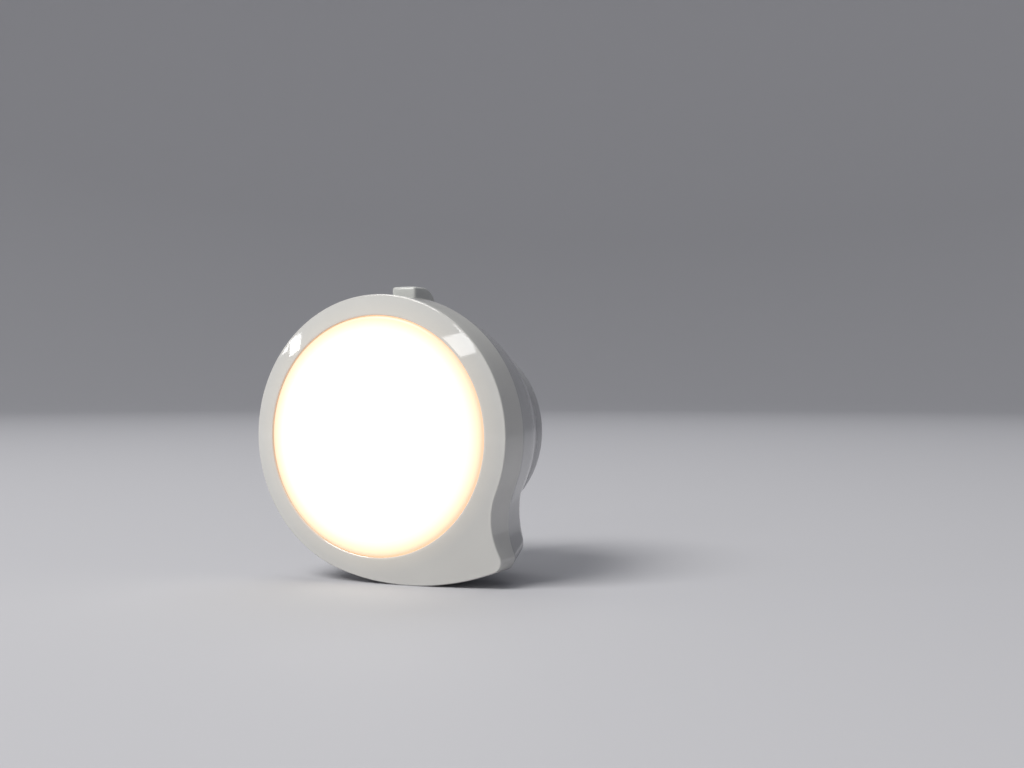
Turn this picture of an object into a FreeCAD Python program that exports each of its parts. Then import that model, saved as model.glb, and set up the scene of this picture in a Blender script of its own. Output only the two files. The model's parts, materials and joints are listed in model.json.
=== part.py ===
import FreeCAD, Part
import math
import os
import Sketcher
from FreeCAD import Placement, Rotation, Vector

# A plug in night light, in millimetres.
# Origin: the middle of the flat face of the plug base that meets the socket.
# +Z is up, the light shines towards -Y and the plug blades point to +Y.
# A "depth" in this file is a distance in front of that face, so y = -depth.

SIZES = {
    # front ring and its tail
    "ring_radius": 26.0,
    "ring_front": 33.5,
    "front_wall_depth": 7.6,
    "ring_rise": 1.0,
    "tail_across": 22.0,
    "tail_drop": 21.9,
    "tail_tip_radius": 2.3,
    "tail_waist_radius": 15.0,
    "tail_sweep_radius": 46.8,
    "shell_wall": 1.8,
    "ring_web": 1.4,
    "ring_edge_round": 0.5,
    # rear shell
    "rear_mid_draw": 2.05,
    "base_step": 0.3,
    "rear_tail_depth": 9.2,
    "rear_tail_draw": 2.3,
    "rear_tail_across": 19.7,
    "rear_tail_drop": 20.0,
    "rear_tail_round": 2.4,
    "rear_tail_waist": 20.0,
    "rear_floor": 1.8,
    "floor_opening": 12.6,
    "spigot_wall": 1.2,
    "seam_gap": 0.1,
    # plug base
    "base_depth": 7.1,
    "base_front_radius": 20.0,
    "base_back_radius": 18.7,
    "base_edge": 0.8,
    "base_wall": 2.0,
    "base_floor": 2.5,
    # lens
    "ring_band": 4.0,
    "lens_gap": 0.1,
    "lens_dome": 2.0,
    "lens_wall": 1.8,
    "flange_gap": 0.9,
    "flange_height": 1.2,
    # reflector tray and light board
    "tray_wall": 1.2,
    "tray_depth": 5.8,
    "tray_draw": 3.0,
    "board_gap": 1.4,
    "tray_post_inset": 2.0,
    "board_height": 1.2,
    "led_long": 3.5,
    "led_wide": 2.8,
    "led_high": 0.7,
    "led_ring_inset": 7.0,
    "led_core_inset": 13.0,
    # driver board
    "driver_gap": 1.1,
    "driver_stand": 1.6,
    "driver_height": 1.2,
    "driver_post_inset": 2.4,
    "post_radius": 2.2,
    # screws
    "screw_radius": 0.9,
    "screw_head_radius": 1.7,
    "screw_head_height": 1.1,
    "screw_gap": 0.2,
    "screw_bite": 3.0,
    "base_screw_inset": 4.0,
    "clamp_screw_offset": 10.0,
    # plug blades
    "blade_width": 6.35,
    "blade_thick": 1.63,
    "blade_length": 17.1,
    "blade_circle": 7.92,
    "neck_width": 5.0,
    "neck_thick": 0.9,
    "sleeve_length": 8.9,
    "shoulder_width": 8.4,
    "shoulder_height": 1.5,
    "tab_width": 2.8,
    "tab_thick": 0.9,
    "tab_proud": 0.9,
    "blade_lap": 0.9,
    "slot_gap": 0.05,
    "clamp_radius": 12.8,
    "clamp_height": 1.8,
    # push button and switch
    "button_set_back": 6.5,
    "button_wide": 5.1,
    "button_long": 8.2,
    "button_proud": 1.9,
    "button_round": 0.7,
    "button_back_round": 2.6,
    "button_flange": 0.8,
    "button_flange_high": 0.9,
    "button_gap": 0.15,
    "cutter_spare": 2.0,
    "tail_foot": 1.0,
    "guide_drop": 5.0,
    "guide_wall": 1.6,
    "button_travel": 1.2,
    "switch_width": 6.2,
    "press_gap": 0.2,
    "switch_high": 4.0,
    "plunger_wide": 3.0,
    "plunger_high": 2.6,
    "switch_floor": 0.6,
    "fit_gap": 0.05,
    "switch_board_wide": 11.0,
    "switch_board_thick": 1.0,
    "spring_coil_radius": 1.0,
    "spring_wire": 0.3,
    # driver components
    "film_cap_long": 13.0,
    "film_cap_wide": 5.0,
    "film_cap_high": 9.0,
    "can_radius": 4.0,
    "can_high": 10.0,
    "coil_radius": 2.6,
    "coil_high": 7.0,
    "resistor_radius": 1.2,
    "resistor_long": 6.5,
    "bridge_long": 4.7,
    "bridge_wide": 3.8,
    "bridge_high": 2.4,
    "chip_long": 4.9,
    "chip_wide": 3.9,
    "chip_high": 1.5,
    "small_long": 3.2,
    "small_wide": 1.6,
    "small_high": 0.6,
    "small_pitch": 2.4,
    "lead_radius": 0.6,
    "lead_span": 3.2,
}

document = FreeCAD.newDocument("NightLight")
sheet = document.addObject("Spreadsheet::Sheet", "Sizes")
for row, (alias, number) in enumerate(SIZES.items(), start=1):
    sheet.set("A%d" % row, alias)
    sheet.set("B%d" % row, str(number))
    sheet.setAlias("B%d" % row, alias)
document.recompute()

OVERLAP = 0.5
parts = {}


class Size:
    """A length that carries its number and the sheet formula behind it."""

    def __init__(self, number, formula=None):
        self.number = float(number)
        self.formula = formula if formula is not None else "%.6g" % number

    def join(self, other, sign, number):
        other = other if isinstance(other, Size) else Size(other)
        formula = "(%s %s %s)" % (self.formula, sign, other.formula)
        return Size(number(self.number, other.number), formula)

    def __add__(self, other):
        return self.join(other, "+", lambda left, right: left + right)

    def __sub__(self, other):
        return self.join(other, "-", lambda left, right: left - right)

    def __mul__(self, other):
        return self.join(other, "*", lambda left, right: left * right)

    def __truediv__(self, other):
        return self.join(other, "/", lambda left, right: left / right)

    def __neg__(self):
        return Size(-self.number, "(-1 * %s)" % self.formula)

    __rmul__ = __mul__
    __radd__ = __add__


class Named:
    """Gives every sheet cell as a Size: size.ring_radius, and so on."""

    def __getattr__(self, alias):
        return Size(SIZES[alias], "Sizes." + alias)


size = Named()
ZERO = Size(0)


def as_size(value):
    return value if isinstance(value, Size) else Size(value)


def drive(target, path, value):
    """Sets a property and ties it to the sheet."""
    value = as_size(value)
    if "Sizes." in value.formula:
        target.setExpression(path, value.formula)
    return value.number


def keep(name, thing):
    thing.Label = name
    parts[name] = thing
    return thing


def new_body(name):
    return document.addObject("PartDesign::Body", name + "_body")


def plane(body, role):
    return [item for item in body.Origin.OriginFeatures if item.Role == role][0]


def new_sketch(body, name, role, offset=ZERO):
    sketch = body.newObject("Sketcher::SketchObject", name)
    sketch.AttachmentSupport = [(plane(body, role), "")]
    sketch.MapMode = "FlatFace"
    offset = as_size(offset)
    sketch.AttachmentOffset = Placement(Vector(0, 0, offset.number), Rotation())
    drive(sketch, "AttachmentOffset.Base.z", offset)
    return sketch


def fix_point(sketch, geometry, end, across, along):
    """Holds a point at its two distances from the sketch's origin."""
    for kind, value in (("DistanceX", across), ("DistanceY", along)):
        value = as_size(value)
        index = sketch.addConstraint(Sketcher.Constraint(kind, -1, 1, geometry, end, value.number))
        drive(sketch, "Constraints[%d]" % index, value)


def polygon(sketch, corners):
    """A closed outline of straight lines through corners (across, along)."""
    points = [(as_size(a), as_size(b)) for a, b in corners]
    first = sketch.GeometryCount
    for index, (across, along) in enumerate(points):
        end = points[(index + 1) % len(points)]
        first_point = Vector(across.number, along.number, 0)
        last_point = Vector(end[0].number, end[1].number, 0)
        sketch.addGeometry(Part.LineSegment(first_point, last_point), False)
    for index, (across, along) in enumerate(points):
        previous = first + (index - 1) % len(points)
        sketch.addConstraint(Sketcher.Constraint("Coincident", previous, 2, first + index, 1))
        fix_point(sketch, first + index, 1, across, along)


def disc(sketch, across, along, radius):
    across, along, radius = as_size(across), as_size(along), as_size(radius)
    circle = Part.Circle(Vector(across.number, along.number, 0), Vector(0, 0, 1), radius.number)
    geometry = sketch.addGeometry(circle, False)
    fix_point(sketch, geometry, 3, across, along)
    index = sketch.addConstraint(Sketcher.Constraint("Radius", geometry, radius.number))
    drive(sketch, "Constraints[%d]" % index, radius)


def hold_radius(sketch, geometry, radius):
    index = sketch.addConstraint(Sketcher.Constraint("Radius", geometry, radius.number))
    drive(sketch, "Constraints[%d]" % index, radius)


def front_outline(inset):
    """The ring's outline as four radii and the place of the tail's tip."""
    return (size.ring_radius - inset, size.tail_tip_radius - inset, size.tail_waist_radius + inset,
            size.tail_sweep_radius - inset, size.tail_across, -size.tail_drop)


def outline(sketch, ring, tip, waist, sweep, across, drop):
    """A circle that runs out into a tail, seen from the front.

    Four arcs, each tangent to the next: ring, waist, tip and the long sweep below.
    """
    tip_middle = Vector(across.number, drop.number, 0)
    far = tip_middle.Length
    bearing = math.atan2(tip_middle.y, tip_middle.x)

    def apex(from_ring, from_tip, side):
        """Where a circle's centre lies, from its distances to both centres."""
        cosine = (far ** 2 + from_ring ** 2 - from_tip ** 2) / (2 * far * from_ring)
        angle = bearing + side * math.acos(cosine)
        return Vector(from_ring * math.cos(angle), from_ring * math.sin(angle), 0)

    waist_middle = apex(ring.number + waist.number, waist.number + tip.number, 1)
    sweep_middle = apex(sweep.number - ring.number, sweep.number - tip.number, 1)
    ring_to_waist = waist_middle * (ring.number / waist_middle.Length)
    ring_to_sweep = sweep_middle * (-ring.number / sweep_middle.Length)
    towards = (waist_middle - tip_middle).normalize()
    tip_to_waist = tip_middle + towards * tip.number
    away = (tip_middle - sweep_middle).normalize()
    tip_to_sweep = tip_middle + away * tip.number

    def arc(middle, radius, start, end):
        first = math.atan2(start.y - middle.y, start.x - middle.x)
        last = math.atan2(end.y - middle.y, end.x - middle.x)
        if last < first:
            last += 2 * math.pi
        circle = Part.Circle(middle, Vector(0, 0, 1), radius)
        return sketch.addGeometry(Part.ArcOfCircle(circle, first, last), False)

    base = sketch.GeometryCount
    arc(Vector(0, 0, 0), ring.number, ring_to_waist, ring_to_sweep)
    arc(sweep_middle, sweep.number, ring_to_sweep, tip_to_sweep)
    arc(tip_middle, tip.number, tip_to_sweep, tip_to_waist)
    arc(waist_middle, waist.number, ring_to_waist, tip_to_waist)
    fix_point(sketch, base, 3, 0, 0)
    fix_point(sketch, base + 2, 3, across, drop)
    for index, radius in enumerate((ring, sweep, tip, waist)):
        hold_radius(sketch, base + index, radius)
    for one, one_end, other, other_end in ((0, 2, 1, 1), (1, 2, 2, 1), (2, 2, 3, 2), (3, 1, 0, 1)):
        tangent = Sketcher.Constraint("Tangent", base + one, one_end, base + other, other_end)
        sketch.addConstraint(tangent)


def add(body, kind, name, sketch, length, reverse=False):
    feature = body.newObject("PartDesign::" + kind, name)
    feature.Profile = sketch
    length = as_size(length)
    feature.Length = length.number
    drive(feature, "Length", length)
    feature.Reversed = reverse
    document.recompute()
    return feature


def turn(body, kind, name, corners):
    """A turned form about the lamp's axis. Corners are (radius, depth)."""
    sketch = new_sketch(body, name + "_profile", "XY_Plane")
    polygon(sketch, [(radius, -as_size(depth)) for radius, depth in corners])
    feature = body.newObject("PartDesign::" + kind, name)
    feature.Profile = sketch
    feature.ReferenceAxis = (sketch, ["V_Axis"])
    feature.Angle = 360
    document.recompute()
    return feature


def holes(body, name, spots, near, far):
    """Round holes along the lamp's axis, from depth near to depth far."""
    sketch = new_sketch(body, name + "_outline", "XZ_Plane", near)
    for across, up, radius in spots:
        disc(sketch, across, up, radius)
    return add(body, "Pocket", name, sketch, as_size(far) - near, True)


def posts(body, name, spots, near, far):
    sketch = new_sketch(body, name + "_outline", "XZ_Plane", near)
    for across, up, radius in spots:
        disc(sketch, across, up, radius)
    return add(body, "Pad", name, sketch, as_size(far) - near)


def ring_spots(circle, radius, degrees):
    """Places on a circle about the lamp's axis."""
    spots = []
    for angle in degrees:
        across = circle * math.cos(math.radians(angle))
        up = circle * math.sin(math.radians(angle))
        spots.append((across, up, radius))
    return spots


def turned_block(corners, angle, across, up):
    """Corners of a rectangle turned about its own middle, as Sizes."""
    cosine = math.cos(math.radians(angle))
    sine = math.sin(math.radians(angle))
    turned = []
    for one, other in corners:
        turned.append((across + one * cosine - other * sine, up + one * sine + other * cosine))
    return turned


def rectangle(width, height):
    half, tall = as_size(width) / 2, as_size(height) / 2
    return [(-half, -tall), (half, -tall), (half, tall), (-half, tall)]


def block(kind, body, name, corners, near, far):
    """A prism along the lamp's axis, between two depths."""
    sketch = new_sketch(body, name + "_outline", "XZ_Plane", near)
    polygon(sketch, corners)
    return add(body, kind, name, sketch, as_size(far) - near, kind == "Pocket")


def upright(kind, body, name, across, long, depth, bottom, top):
    """A rectangular prism along Z, centred on x = 0 and a depth."""
    sketch = new_sketch(body, name + "_outline", "XY_Plane", bottom)
    half, reach = as_size(across) / 2, as_size(long) / 2
    middle = -as_size(depth)
    near, far = middle - reach, middle + reach
    corners = [(-half, near), (half, near), (half, far), (-half, far)]
    polygon(sketch, corners)
    return add(body, kind, name, sketch, as_size(top) - bottom, kind == "Pocket")


# Radii that several pieces share
lens_radius = size.ring_radius - size.ring_band
rear_mid_radius = size.ring_radius - size.rear_mid_draw
rear_end_radius = size.base_front_radius + size.base_step
tray_floor_radius = lens_radius - size.tray_draw
board_radius = tray_floor_radius - size.board_gap
tray_post_circle = board_radius - size.tray_post_inset
driver_radius = rear_end_radius - size.shell_wall - size.driver_gap
driver_post_circle = driver_radius - size.driver_post_inset
base_screw_circle = size.base_front_radius - size.base_screw_inset

# Depths that several pieces share, from the socket face to the front
split = size.ring_front - size.front_wall_depth
rear_mid = (split + size.base_depth) / 2
floor_top = size.base_depth + size.rear_floor
web_back = size.ring_front - size.ring_web
flange_back = web_back - size.flange_height
tray_back = flange_back - size.tray_depth
board_back = tray_back + size.tray_wall
board_front = board_back + size.board_height
driver_back = floor_top + size.driver_stand
driver_front = driver_back + size.driver_height
tray_rim = flange_back - size.tray_wall
shell_bore = size.ring_radius - size.shell_wall
screw_hole = size.screw_radius + size.screw_gap
clamp_back = size.base_floor + size.shoulder_height
clamp_front = clamp_back + size.clamp_height
button_depth = split - size.button_set_back
guide_bottom = size.ring_radius - size.guide_drop
button_top = size.ring_radius + size.button_proud
plunger_top = guide_bottom - size.button_flange_high
switch_top = plunger_top - size.button_travel - size.press_gap
switch_foot = switch_top - size.switch_high
spring_bottom = switch_foot + size.switch_floor
plunger_bottom = plunger_top - size.plunger_high

BASE_SCREW_ANGLES = (90, 210, 330)
POST_ANGLES = (30, 150, 270)
SPRING_TURNS = 3
BLADE_ANGLE = 30
# Behind its deepest outline the rear tail shrinks to this share and sinks into the taper
TAIL_FADE_SHARE = 0.58
FADE_RING_SHARE = 0.72
# Where the parts stand on the driver board: across and up, as shares of the board's radius
BRIDGE_SHARES = (0.64, -0.36)
CHIP_SHARES = (0.28, -0.72)
RESISTOR_SHARE = 0.05
SMALL_SHARES = (-0.33, -0.645)
FILM_SHARE = 0.37
CAN_SHARES = (-0.68, -0.23)
COIL_SHARE = 0.74
# The drum of the inductor: its core against its flanges, and a flange against its height
DRUM_CORE_SHARE = 0.8
DRUM_FLANGE_SHARE = 0.15
BLADE_SIDES = {"active": 1, "neutral": -1}


def front_shell():
    """The glossy ring: side wall, sloping front and the window for the lens."""
    body = new_body("front_shell")
    sketch = new_sketch(body, "front_outline", "XZ_Plane", split)
    outline(sketch, *front_outline(ZERO))
    add(body, "Pad", "front_block", sketch, size.front_wall_depth + size.ring_rise)
    slope = size.ring_rise / (size.ring_radius - lens_radius)
    cutter_front = size.ring_front + size.ring_rise + size.cutter_spare
    reach = size.ring_radius * 2
    drop = (reach - size.ring_radius) * slope
    turn(body, "Groove", "front_slope", [
        (lens_radius, size.ring_front + size.ring_rise),
        (reach, size.ring_front - drop),
        (reach, cutter_front), (lens_radius, cutter_front)])
    turn(body, "Groove", "front_hollow", [
        (0, split - 1), (shell_bore, split - 1), (shell_bore, web_back), (0, web_back)])
    window = lens_radius + size.lens_gap
    turn(body, "Groove", "front_window", [
        (0, web_back - 1), (window, web_back - 1),
        (window, cutter_front), (0, cutter_front)])
    front = body.Tip
    edges = []
    for index, edge in enumerate(front.Shape.Edges, start=1):
        reach = [math.hypot(vertex.Point.x, vertex.Point.z) for vertex in edge.Vertexes]
        depths = [-vertex.Point.y for vertex in edge.Vertexes]
        if min(depths) > split.number + 1 and min(reach) > SIZES["ring_radius"] - 0.2:
            edges.append("Edge%d" % index)
    rounded = body.newObject("PartDesign::Fillet", "front_round")
    rounded.Base = (front, edges)
    rounded.Radius = size.ring_edge_round.number
    drive(rounded, "Radius", size.ring_edge_round)
    document.recompute()
    return keep("front_shell", body)


def lens():
    """The opal diffuser: a flange behind the ring and a shallow dome."""
    body = new_body("lens")
    sketch = new_sketch(body, "lens_profile", "XY_Plane")
    edge = size.ring_front + size.ring_rise
    crown = edge + size.lens_dome
    flange = shell_bore - size.flange_gap
    inner = lens_radius - size.lens_wall
    corners = [
        (ZERO, -(crown - size.lens_wall)), (inner, -(edge - size.lens_wall / 2)), (inner, -flange_back),
        (flange, -flange_back), (flange, -web_back), (lens_radius, -web_back),
        (lens_radius, -edge), (ZERO, -crown)]
    points = [Vector(a.number, b.number, 0) for a, b in corners]

    def dome(rim, top):
        """The arc from the rim to the crown that meets the axis squarely."""
        rise = abs(top.y - rim.y)
        radius = (rim.x ** 2 + rise ** 2) / (2 * rise)
        middle = Vector(0, top.y + radius, 0)
        start = math.atan2(top.y - middle.y, top.x - middle.x)
        end = math.atan2(rim.y - middle.y, rim.x - middle.x)
        return Part.ArcOfCircle(Part.Circle(middle, Vector(0, 0, 1), radius), start, end)

    sketch.addGeometry(dome(points[1], points[0]), False)
    for index in range(1, 6):
        sketch.addGeometry(Part.LineSegment(points[index], points[index + 1]), False)
    sketch.addGeometry(dome(points[6], points[7]), False)
    sketch.addGeometry(Part.LineSegment(points[7], points[0]), False)
    links = [(index, 2, index + 1, 1) for index in range(5)]
    links += [(5, 2, 6, 2), (6, 1, 7, 1), (7, 2, 0, 1)]
    for one, one_end, other, other_end in links:
        sketch.addConstraint(Sketcher.Constraint("Coincident", one, one_end, other, other_end))
    for index in range(1, 6):
        fix_point(sketch, index, 1, *corners[index])
    fix_point(sketch, 5, 2, *corners[6])
    fix_point(sketch, 7, 1, *corners[7])
    fix_point(sketch, 7, 2, *corners[0])
    for index in (0, 6):
        sketch.addConstraint(Sketcher.Constraint("PointOnObject", index, 3, -2))
    feature = body.newObject("PartDesign::Revolution", "lens_turned")
    feature.Profile = sketch
    feature.ReferenceAxis = (sketch, ["V_Axis"])
    feature.Angle = 360
    document.recompute()
    return keep("lens", body)


def reflector_tray():
    """White dish behind the lens. Its rim holds the lens flange to the ring."""
    body = new_body("reflector_tray")
    rim = shell_bore - size.seam_gap
    mouth = lens_radius - size.lens_wall
    wall = size.tray_wall
    turn(body, "Revolution", "tray_dish", [
        (0, tray_back), (tray_floor_radius, tray_back), (mouth + wall, tray_rim), (rim, tray_rim),
        (rim, flange_back), (mouth, flange_back),
        (tray_floor_radius - wall / 2, board_back), (0, board_back)])
    spots = ring_spots(tray_post_circle, size.post_radius, POST_ANGLES)
    posts(body, "tray_bosses", spots, tray_back - size.screw_bite, tray_back + size.tray_wall / 2)
    pilots = ring_spots(tray_post_circle, size.screw_radius, POST_ANGLES)
    holes(body, "tray_pilots", pilots, tray_back - size.screw_bite, board_back + OVERLAP)
    gap = size.lead_radius + size.screw_gap
    holes(body, "tray_lead_holes", lead_spots(gap), tray_back - OVERLAP, board_back + OVERLAP)
    return keep("reflector_tray", body)


def lead_spots(radius):
    return [(-size.lead_span, size.lead_span * 2, radius), (size.lead_span, size.lead_span * 2, radius)]


def led_board():
    body = new_body("led_board")
    posts(body, "light_disc", [(0, 0, board_radius)], board_back, board_front)
    spots = ring_spots(tray_post_circle, screw_hole, POST_ANGLES) + lead_spots(size.lead_radius)
    holes(body, "light_disc_holes", spots, board_back - OVERLAP, board_front + OVERLAP)
    return keep("led_board", body)


def box(name, width, length, height, across, depth, up, angle=0):
    """A box centred on across and up: width along X, length forward, height along Z."""
    item = document.addObject("Part::Box", name)
    width, length, height = as_size(width), as_size(length), as_size(height)
    across, depth, up = as_size(across), as_size(depth), as_size(up)
    item.Length = drive(item, "Length", width)
    item.Width = drive(item, "Width", length)
    item.Height = drive(item, "Height", height)
    turned = Rotation(Vector(0, 1, 0), -angle)
    cosine = math.cos(math.radians(angle))
    sine = math.sin(math.radians(angle))
    corner_x = across - width / 2 * cosine + height / 2 * sine
    corner_z = up - width / 2 * sine - height / 2 * cosine
    item.Placement = Placement(Vector(corner_x.number, -(depth + length).number, corner_z.number), turned)
    drive(item, "Placement.Base.x", corner_x)
    drive(item, "Placement.Base.y", -(depth + length))
    drive(item, "Placement.Base.z", corner_z)
    return item


FORWARD = Rotation(Vector(1, 0, 0), 90)


def rod(name, radius, length, across, depth, up, rotation=FORWARD):
    """A cylinder that starts at a depth and runs forward, unless turned."""
    item = document.addObject("Part::Cylinder", name)
    item.Radius = drive(item, "Radius", radius)
    item.Height = drive(item, "Height", length)
    across, depth, up = as_size(across), as_size(depth), as_size(up)
    item.Placement = Placement(Vector(across.number, -depth.number, up.number), rotation)
    drive(item, "Placement.Base.x", across)
    drive(item, "Placement.Base.y", -depth)
    drive(item, "Placement.Base.z", up)
    return item


def fuse(name, items):
    item = document.addObject("Part::MultiFuse", name)
    item.Shapes = items
    return item


def cut(name, solid, tool):
    item = document.addObject("Part::Cut", name)
    item.Base = solid
    item.Tool = tool
    return item


def group(name, items):
    """Separate solids under one name."""
    item = document.addObject("Part::Compound", name + "_group")
    item.Links = items
    return keep(name, item)


def leds():
    chips = []
    for circle, count in ((board_radius - size.led_ring_inset, 8), (board_radius - size.led_core_inset, 4)):
        for index in range(count):
            angle = (index + 0.5) * 360 / count
            across = circle * math.cos(math.radians(angle))
            up = circle * math.sin(math.radians(angle))
            name = "led_%d_%d" % (count, index)
            chips.append(box(name, size.led_wide, size.led_high, size.led_long,
                             across, board_front, up, angle))
    return group("leds", chips)


def screw(name, across, up, seat, bite):
    """A pan head screw whose head sits on depth seat, with its shank behind."""
    head = rod(name + "_head", size.screw_head_radius, size.screw_head_height, across, seat, up)
    shank = rod(name + "_shank", size.screw_radius, bite + OVERLAP, across, seat - bite, up)
    whole = fuse(name + "_whole", [head, shank])
    slot_wide = size.screw_head_radius * 1.2
    slot_thin = size.screw_head_radius * 0.24
    bottom = seat + size.screw_head_height / 2
    bar = box(name + "_bar", slot_wide, size.screw_head_height, slot_thin, across, bottom, up)
    cross = box(name + "_cross", slot_thin, size.screw_head_height, slot_wide, across, bottom, up)
    return cut(name, whole, fuse(name + "_recess", [bar, cross]))


def screws(name, spots, seat, bite):
    items = []
    for index, (across, up, radius) in enumerate(spots):
        items.append(screw("%s_%d" % (name, index + 1), across, up, seat, bite))
    return group(name, items)


def rear_shell():
    """The tapered body behind the ring, with its floor, posts and button guide."""
    body = new_body("rear_shell")
    outer = size.ring_radius - size.seam_gap
    wall = size.shell_wall
    turn(body, "Revolution", "rear_taper", [
        (0, size.base_depth), (rear_end_radius, size.base_depth), (rear_mid_radius, rear_mid),
        (outer, split), (0, split)])
    tail_across, tail_drop = size.rear_tail_across, -size.rear_tail_drop
    tail_round, tail_waist = size.rear_tail_round, size.rear_tail_waist
    sweep = size.tail_sweep_radius
    faded_across, faded_drop = tail_across * TAIL_FADE_SHARE, tail_drop * TAIL_FADE_SHARE
    faded_ring = (faded_across - faded_drop) * FADE_RING_SHARE
    sections = [
        (split, front_outline(size.seam_gap)),
        (split - size.rear_tail_depth,
         (outer - size.rear_tail_draw, tail_round, tail_waist, sweep, tail_across, tail_drop)),
        (size.base_depth + size.tail_foot,
         (faded_ring, tail_round, tail_waist, sweep, faded_across, faded_drop))]
    sketches = []
    for index, (depth, arcs) in enumerate(sections, start=1):
        sketch = new_sketch(body, "rear_tail_outline_%d" % index, "XZ_Plane", depth)
        outline(sketch, *arcs)
        sketches.append(sketch)
    tail = body.newObject("PartDesign::AdditiveLoft", "rear_tail")
    tail.Profile = sketches[0]
    tail.Sections = sketches[1:]
    tail.Ruled = True
    document.recompute()
    turn(body, "Groove", "rear_hollow", [
        (0, floor_top), (rear_end_radius - wall, floor_top), (rear_mid_radius - wall, rear_mid),
        (outer - wall, split), (outer - wall, split + 1), (0, split + 1)])
    holes(body, "rear_opening", [(0, 0, size.floor_opening)], size.base_depth - OVERLAP, floor_top + OVERLAP)
    spigot = shell_bore - size.seam_gap
    turn(body, "Revolution", "rear_spigot", [
        (spigot - size.spigot_wall, split - wall), (spigot, split - wall),
        (spigot, tray_rim), (spigot - size.spigot_wall, tray_rim)])
    spots = ring_spots(driver_post_circle, size.post_radius, POST_ANGLES)
    posts(body, "driver_posts", spots, size.base_depth, driver_back)
    pilots = ring_spots(driver_post_circle, size.screw_radius, POST_ANGLES)
    holes(body, "driver_pilots", pilots, size.base_depth + OVERLAP, driver_back + OVERLAP)
    half_wide = size.button_wide / 2 + size.guide_wall
    half_long = size.button_long / 2 + size.guide_wall
    guide_rear, guide_front = button_depth - half_long, button_depth + half_long
    rear_slope = (rear_mid_radius - rear_end_radius) / (rear_mid - size.base_depth)
    front_slope = (outer - rear_mid_radius) / (split - rear_mid)
    rear_top = rear_mid_radius - (rear_mid - guide_rear) * rear_slope - wall / 2
    front_top = rear_mid_radius + (guide_front - rear_mid) * front_slope - wall / 2
    sketch = new_sketch(body, "button_guide_outline", "YZ_Plane", -half_wide)
    polygon(sketch, [(-guide_front, guide_bottom), (-guide_rear, guide_bottom),
                     (-guide_rear, rear_top), (-guide_front, front_top)])
    add(body, "Pad", "button_guide", sketch, half_wide * 2)
    hole_wide = size.button_wide + size.button_gap * 2
    hole_long = size.button_long + size.button_gap * 2
    upright("Pocket", body, "button_hole", hole_wide, hole_long, button_depth,
            guide_bottom - OVERLAP, button_top)
    screw_spots = ring_spots(base_screw_circle, screw_hole, BASE_SCREW_ANGLES)
    holes(body, "base_screw_holes", screw_spots, size.base_depth - OVERLAP, floor_top + OVERLAP)
    return keep("rear_shell", body)


def plug_base():
    """The round cup that meets the socket, with slots for the two blades."""
    body = new_body("plug_base")
    wall = size.base_wall
    turn(body, "Revolution", "base_cup", [
        (0, 0), (size.base_back_radius - size.base_edge, 0), (size.base_back_radius, size.base_edge),
        (size.base_front_radius, size.base_depth), (size.base_front_radius - wall, size.base_depth),
        (size.base_back_radius - wall, size.base_floor), (0, size.base_floor)])
    spots = ring_spots(base_screw_circle, size.post_radius, BASE_SCREW_ANGLES)
    posts(body, "base_bosses", spots, size.base_floor - OVERLAP, size.base_depth)
    up = size.clamp_screw_offset
    clamp_spots = [(ZERO, up, size.post_radius), (ZERO, -up, size.post_radius)]
    posts(body, "clamp_bosses", clamp_spots, size.base_floor - OVERLAP, clamp_back)
    pilots = ring_spots(base_screw_circle, size.screw_radius, BASE_SCREW_ANGLES)
    holes(body, "base_pilots", pilots, size.base_depth - size.screw_bite, size.base_depth + OVERLAP)
    clamp_pilots = [(ZERO, up, size.screw_radius), (ZERO, -up, size.screw_radius)]
    holes(body, "clamp_pilots", clamp_pilots, clamp_back - size.screw_bite + OVERLAP, clamp_back + OVERLAP)
    for side_name, side in BLADE_SIDES.items():
        across, rise, angle = blade_place(side)
        gap = size.slot_gap * 2
        slot = turned_block(rectangle(size.blade_thick + gap, size.blade_width + gap), angle, across, rise)
        block("Pocket", body, side_name + "_slot", slot, -OVERLAP, size.base_floor + OVERLAP)
    return keep("plug_base", body)


def blade_place(side):
    """Middle of a blade, and how far it leans: the two stand as an inverted V."""
    across = size.blade_circle * (side * math.cos(math.radians(BLADE_ANGLE)))
    rise = size.blade_circle * math.sin(math.radians(BLADE_ANGLE))
    return across, rise, side * BLADE_ANGLE


def blade(side_name):
    """A flat blade: bare tip, necked run under its sleeve, shoulder and tab."""
    across, rise, angle = blade_place(BLADE_SIDES[side_name])
    body = new_body(side_name + "_blade")
    name = side_name + "_"
    lap = size.blade_lap
    tip = turned_block(rectangle(size.blade_thick, size.blade_width), angle, across, rise)
    block("Pad", body, name + "tip", tip, -size.blade_length, -size.sleeve_length)
    neck = turned_block(rectangle(size.neck_thick, size.neck_width), angle, across, rise)
    block("Pad", body, name + "neck", neck, -size.sleeve_length - lap, size.base_floor + lap)
    shoulder = turned_block(rectangle(size.blade_thick, size.shoulder_width), angle, across, rise)
    block("Pad", body, name + "shoulder", shoulder, size.base_floor, clamp_back)
    tab = turned_block(rectangle(size.tab_thick, size.tab_width), angle, across, rise)
    block("Pad", body, name + "tab", tab, clamp_back - lap, driver_front + size.tab_proud)
    return keep(side_name + "_blade", body)


def sleeve(side_name):
    """Moulded insulation round a blade's neck, flush with its bare tip."""
    across, rise, angle = blade_place(BLADE_SIDES[side_name])
    body = new_body(side_name + "_sleeve")
    skin = turned_block(rectangle(size.blade_thick, size.blade_width), angle, across, rise)
    block("Pad", body, side_name + "_skin", skin, -size.sleeve_length, size.base_floor)
    bore = turned_block(rectangle(size.neck_thick, size.neck_width), angle, across, rise)
    block("Pocket", body, side_name + "_bore", bore, -size.sleeve_length - OVERLAP, size.base_floor + OVERLAP)
    return keep(side_name + "_sleeve", body)


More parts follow.
